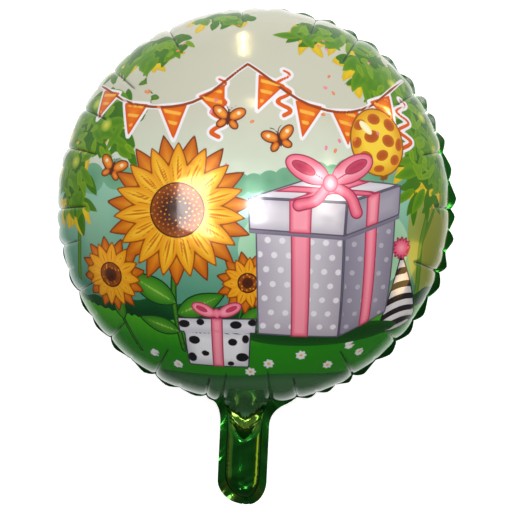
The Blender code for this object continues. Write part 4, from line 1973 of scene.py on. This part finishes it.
@dataclass
class PartyPrint:
    """The printed picture: its layers, as attributes of the front sheet, and its finish."""

    sheet: FoilSheet
    reach: Span = (-100.0, 200.0)

    def dress(self, piece: Item) -> None:
        """Put the print on the front sheet.

        Args:
            piece: The front sheet's object.
        """
        x, y = read_values(piece, "flat_x"), read_values(piece, "flat_y")
        paper = Paper(x / MM, y / MM).at(0.0, 0.0, PRINT_TURN)
        layers = [layer for group in (Scenery(), PartyThings(), Blooms(), Presents())
                  for layer in group.layers(paper)]
        for name, _, inside in layers:
            write_values(piece, name, np.clip(inside, *self.reach))
        on_seal = read_values(piece, "on_seal") > 0.5
        printed = PrintEdge().inside(read_points(piece), np.hypot(x, y), on_seal, self.sheet)
        write_values(piece, "printed", printed / MM)
        piece.data.materials.append(PrintedFilm().material(layers))


@dataclass(frozen=True)
class Lamp:
    """A flat lamp that faces the middle of the balloon."""

    name: str
    place: tuple[float, float, float]
    size: Span
    power: float
    tint: Colour = (1.0, 1.0, 1.0)
    glossy: bool = True

    def hang(self, target: Vector) -> None:
        """Hang the lamp in the studio.

        Args:
            target: The middle of the balloon.
        """
        lamp = bpy.data.lights.new(self.name, "AREA")
        lamp.shape = "RECTANGLE"
        lamp.size, lamp.size_y = self.size
        lamp.energy = self.power
        lamp.color = self.tint
        item = bpy.data.objects.new(self.name, lamp)
        item.location = self.place
        item.rotation_euler = (target - Vector(self.place)).to_track_quat("-Z", "Y").to_euler()
        item.visible_camera = False
        item.visible_glossy = self.glossy
        bpy.context.scene.collection.objects.link(item)


@dataclass
class Studio:
    """The pale floor, the lights, the surroundings and the camera above the balloon."""

    seam_plane: float
    lens: float = 135.0
    distance: float = 1.672
    aim: Span = (0.0029, -0.0436)
    floor_size: float = 14.0
    floor_grey: float = 0.85
    floor_roughness: float = 0.9
    room_colour: Colour = (0.98, 1.0, 0.98)
    room_light: Span = (0.08, 0.45)
    room_edge: Span = (-0.35, 0.60)
    low_glow: float = 0.7
    backdrop_light: Span = (0.90, 0.0)
    backdrop_edge: Span = (-1.0, -0.50)
    pool_reach: Span = (0.30, 0.75)
    pool_glow: Span = (0.75, 0.05)
    lamps: tuple[Lamp, ...] = (
        Lamp("softbox", (-0.37, 0.007, 1.60), (0.34, 0.30), 3.2),
        Lamp("flash", (-0.011, 0.041, 1.95), (0.05, 0.05), 0.35),
        Lamp("right_lamp", (0.46, 0.155, 1.55), (0.24, 0.32), 1.2, (1.0, 0.95, 0.82)),
        Lamp("tall_strip", (-0.125, 1.04, 0.26), (0.010, 0.52), 0.50, (1.0, 0.80, 0.40)),
        Lamp("tall_halo", (-0.14, 1.15, 0.24), (0.06, 0.46), 0.14, (1.0, 0.84, 0.45)),
        Lamp("side_lamp", (0.891, 0.706, 0.26), (0.04, 0.04), 0.35, (1.0, 0.84, 0.5)),
        Lamp("back_lamp", (-0.06, 0.86, 1.45), (0.02, 0.12), 0.13, (1.0, 0.84, 0.45)),
        Lamp("low_strip", (1.0, -0.34, 0.18), (0.36, 0.30), 0.80, (1.0, 0.58, 0.12)),
        Lamp("left_card", (-1.0, -0.25, 0.30), (0.50, 0.60), 0.26, (1.0, 0.72, 0.40)),
        Lamp("fill", (0.2, 0.5, 2.2), (1.6, 1.6), 38.0, glossy=False))

    def floor(self) -> None:
        """Lay a pale floor under the balloon, which glows in a soft pool round it, as under a lamp."""
        bpy.ops.object.select_all(action="DESELECT")
        bpy.ops.mesh.primitive_plane_add(size=self.floor_size, location=(0.0, 0.0, 0.0))
        floor = bpy.context.object
        floor.name = "floor"
        material = bpy.data.materials.new("pale_floor")
        material.use_nodes = True
        tree = material.node_tree
        shader = tree.nodes["Principled BSDF"]
        shader.inputs["Base Color"].default_value = (*[self.floor_grey] * 3, 1.0)
        shader.inputs["Roughness"].default_value = self.floor_roughness
        shader.inputs["Emission Color"].default_value = (1.0, 1.0, 1.0, 1.0)
        places, away = tree.nodes.new("ShaderNodeTexCoord"), tree.nodes.new("ShaderNodeVectorMath")
        away.operation = "DISTANCE"
        away.inputs[1].default_value = (*self.aim, 0.0)
        tree.links.new(places.outputs["Object"], away.inputs[0])
        glow = ranged(tree, away.outputs["Value"], self.pool_reach, self.pool_glow, "SMOOTHSTEP")
        tree.links.new(glow, shader.inputs["Emission Strength"])
        floor.data.materials.append(material)
        floor.visible_glossy = False

    def surroundings(self) -> None:
        """Surround the balloon with a room that is brighter up the print, over a bright backdrop."""
        world = bpy.data.worlds.new("room")
        world.use_nodes = True
        bpy.context.scene.world = world
        tree = world.node_tree
        background = tree.nodes["Background"]
        background.inputs["Color"].default_value = (*self.room_colour, 1.0)
        places, parts = tree.nodes.new("ShaderNodeTexCoord"), tree.nodes.new("ShaderNodeSeparateXYZ")
        tree.links.new(places.outputs["Generated"], parts.inputs["Vector"])
        up, high = parts.outputs["Y"], parts.outputs["Z"]
        room = ranged(tree, up, self.room_edge, self.room_light, "SMOOTHSTEP")
        backdrop = ranged(tree, high, self.backdrop_edge, self.backdrop_light, "SMOOTHSTEP")
        down = reckon(tree, "MULTIPLY", high, -self.low_glow, clamped=True)
        low = reckon(tree, "MULTIPLY", down, up, clamped=True)
        total = reckon(tree, "ADD", reckon(tree, "MAXIMUM", room, backdrop), low)
        tree.links.new(total, background.inputs["Strength"])

    def camera(self) -> None:
        """Look straight down on the balloon, with the print upright."""
        camera = bpy.data.cameras.new("camera")
        camera.lens = self.lens
        camera.sensor_width = 36.0
        item = bpy.data.objects.new("camera", camera)
        item.location = (*self.aim, self.seam_plane + self.distance)
        item.rotation_euler = (0.0, 0.0, math.radians(PRINT_TURN))
        bpy.context.scene.collection.objects.link(item)
        bpy.context.scene.camera = item
        bpy.context.scene.view_settings.view_transform = "Standard"

    def build(self) -> None:
        """Set up the whole studio."""
        self.floor()
        self.surroundings()
        for lamp in self.lamps:
            lamp.hang(Vector((0.0, 0.0, self.seam_plane)))
        self.camera()


def main() -> None:
    """Build the balloon and its studio."""
    logging.basicConfig(level=logging.INFO, format="%(message)s")
    front_low, back_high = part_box("front_foil")[0][2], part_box("back_foil")[1][2]
    seam_plane = 0.5 * (front_low + back_high)
    for side, node, slot in ((Side.FRONT, "front_foil", "printed_film"),
                             (Side.BACK, "back_foil", "green_film")):
        sheet = FoilSheet(side, node, seam_plane)
        piece = sheet.build()
        piece.name = node + "_film"
        piece.data.materials.clear()
        if side is Side.FRONT:
            PartyPrint(sheet).dress(piece)
        else:
            piece.data.materials.append(GreenFilm().material())
        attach(piece, "root")
        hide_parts(node)
        log.info("%s: %d points, %d faces", piece.name, len(piece.data.vertices), len(piece.data.polygons))
    Studio(seam_plane).build()


if __name__ == "__main__":
    main()
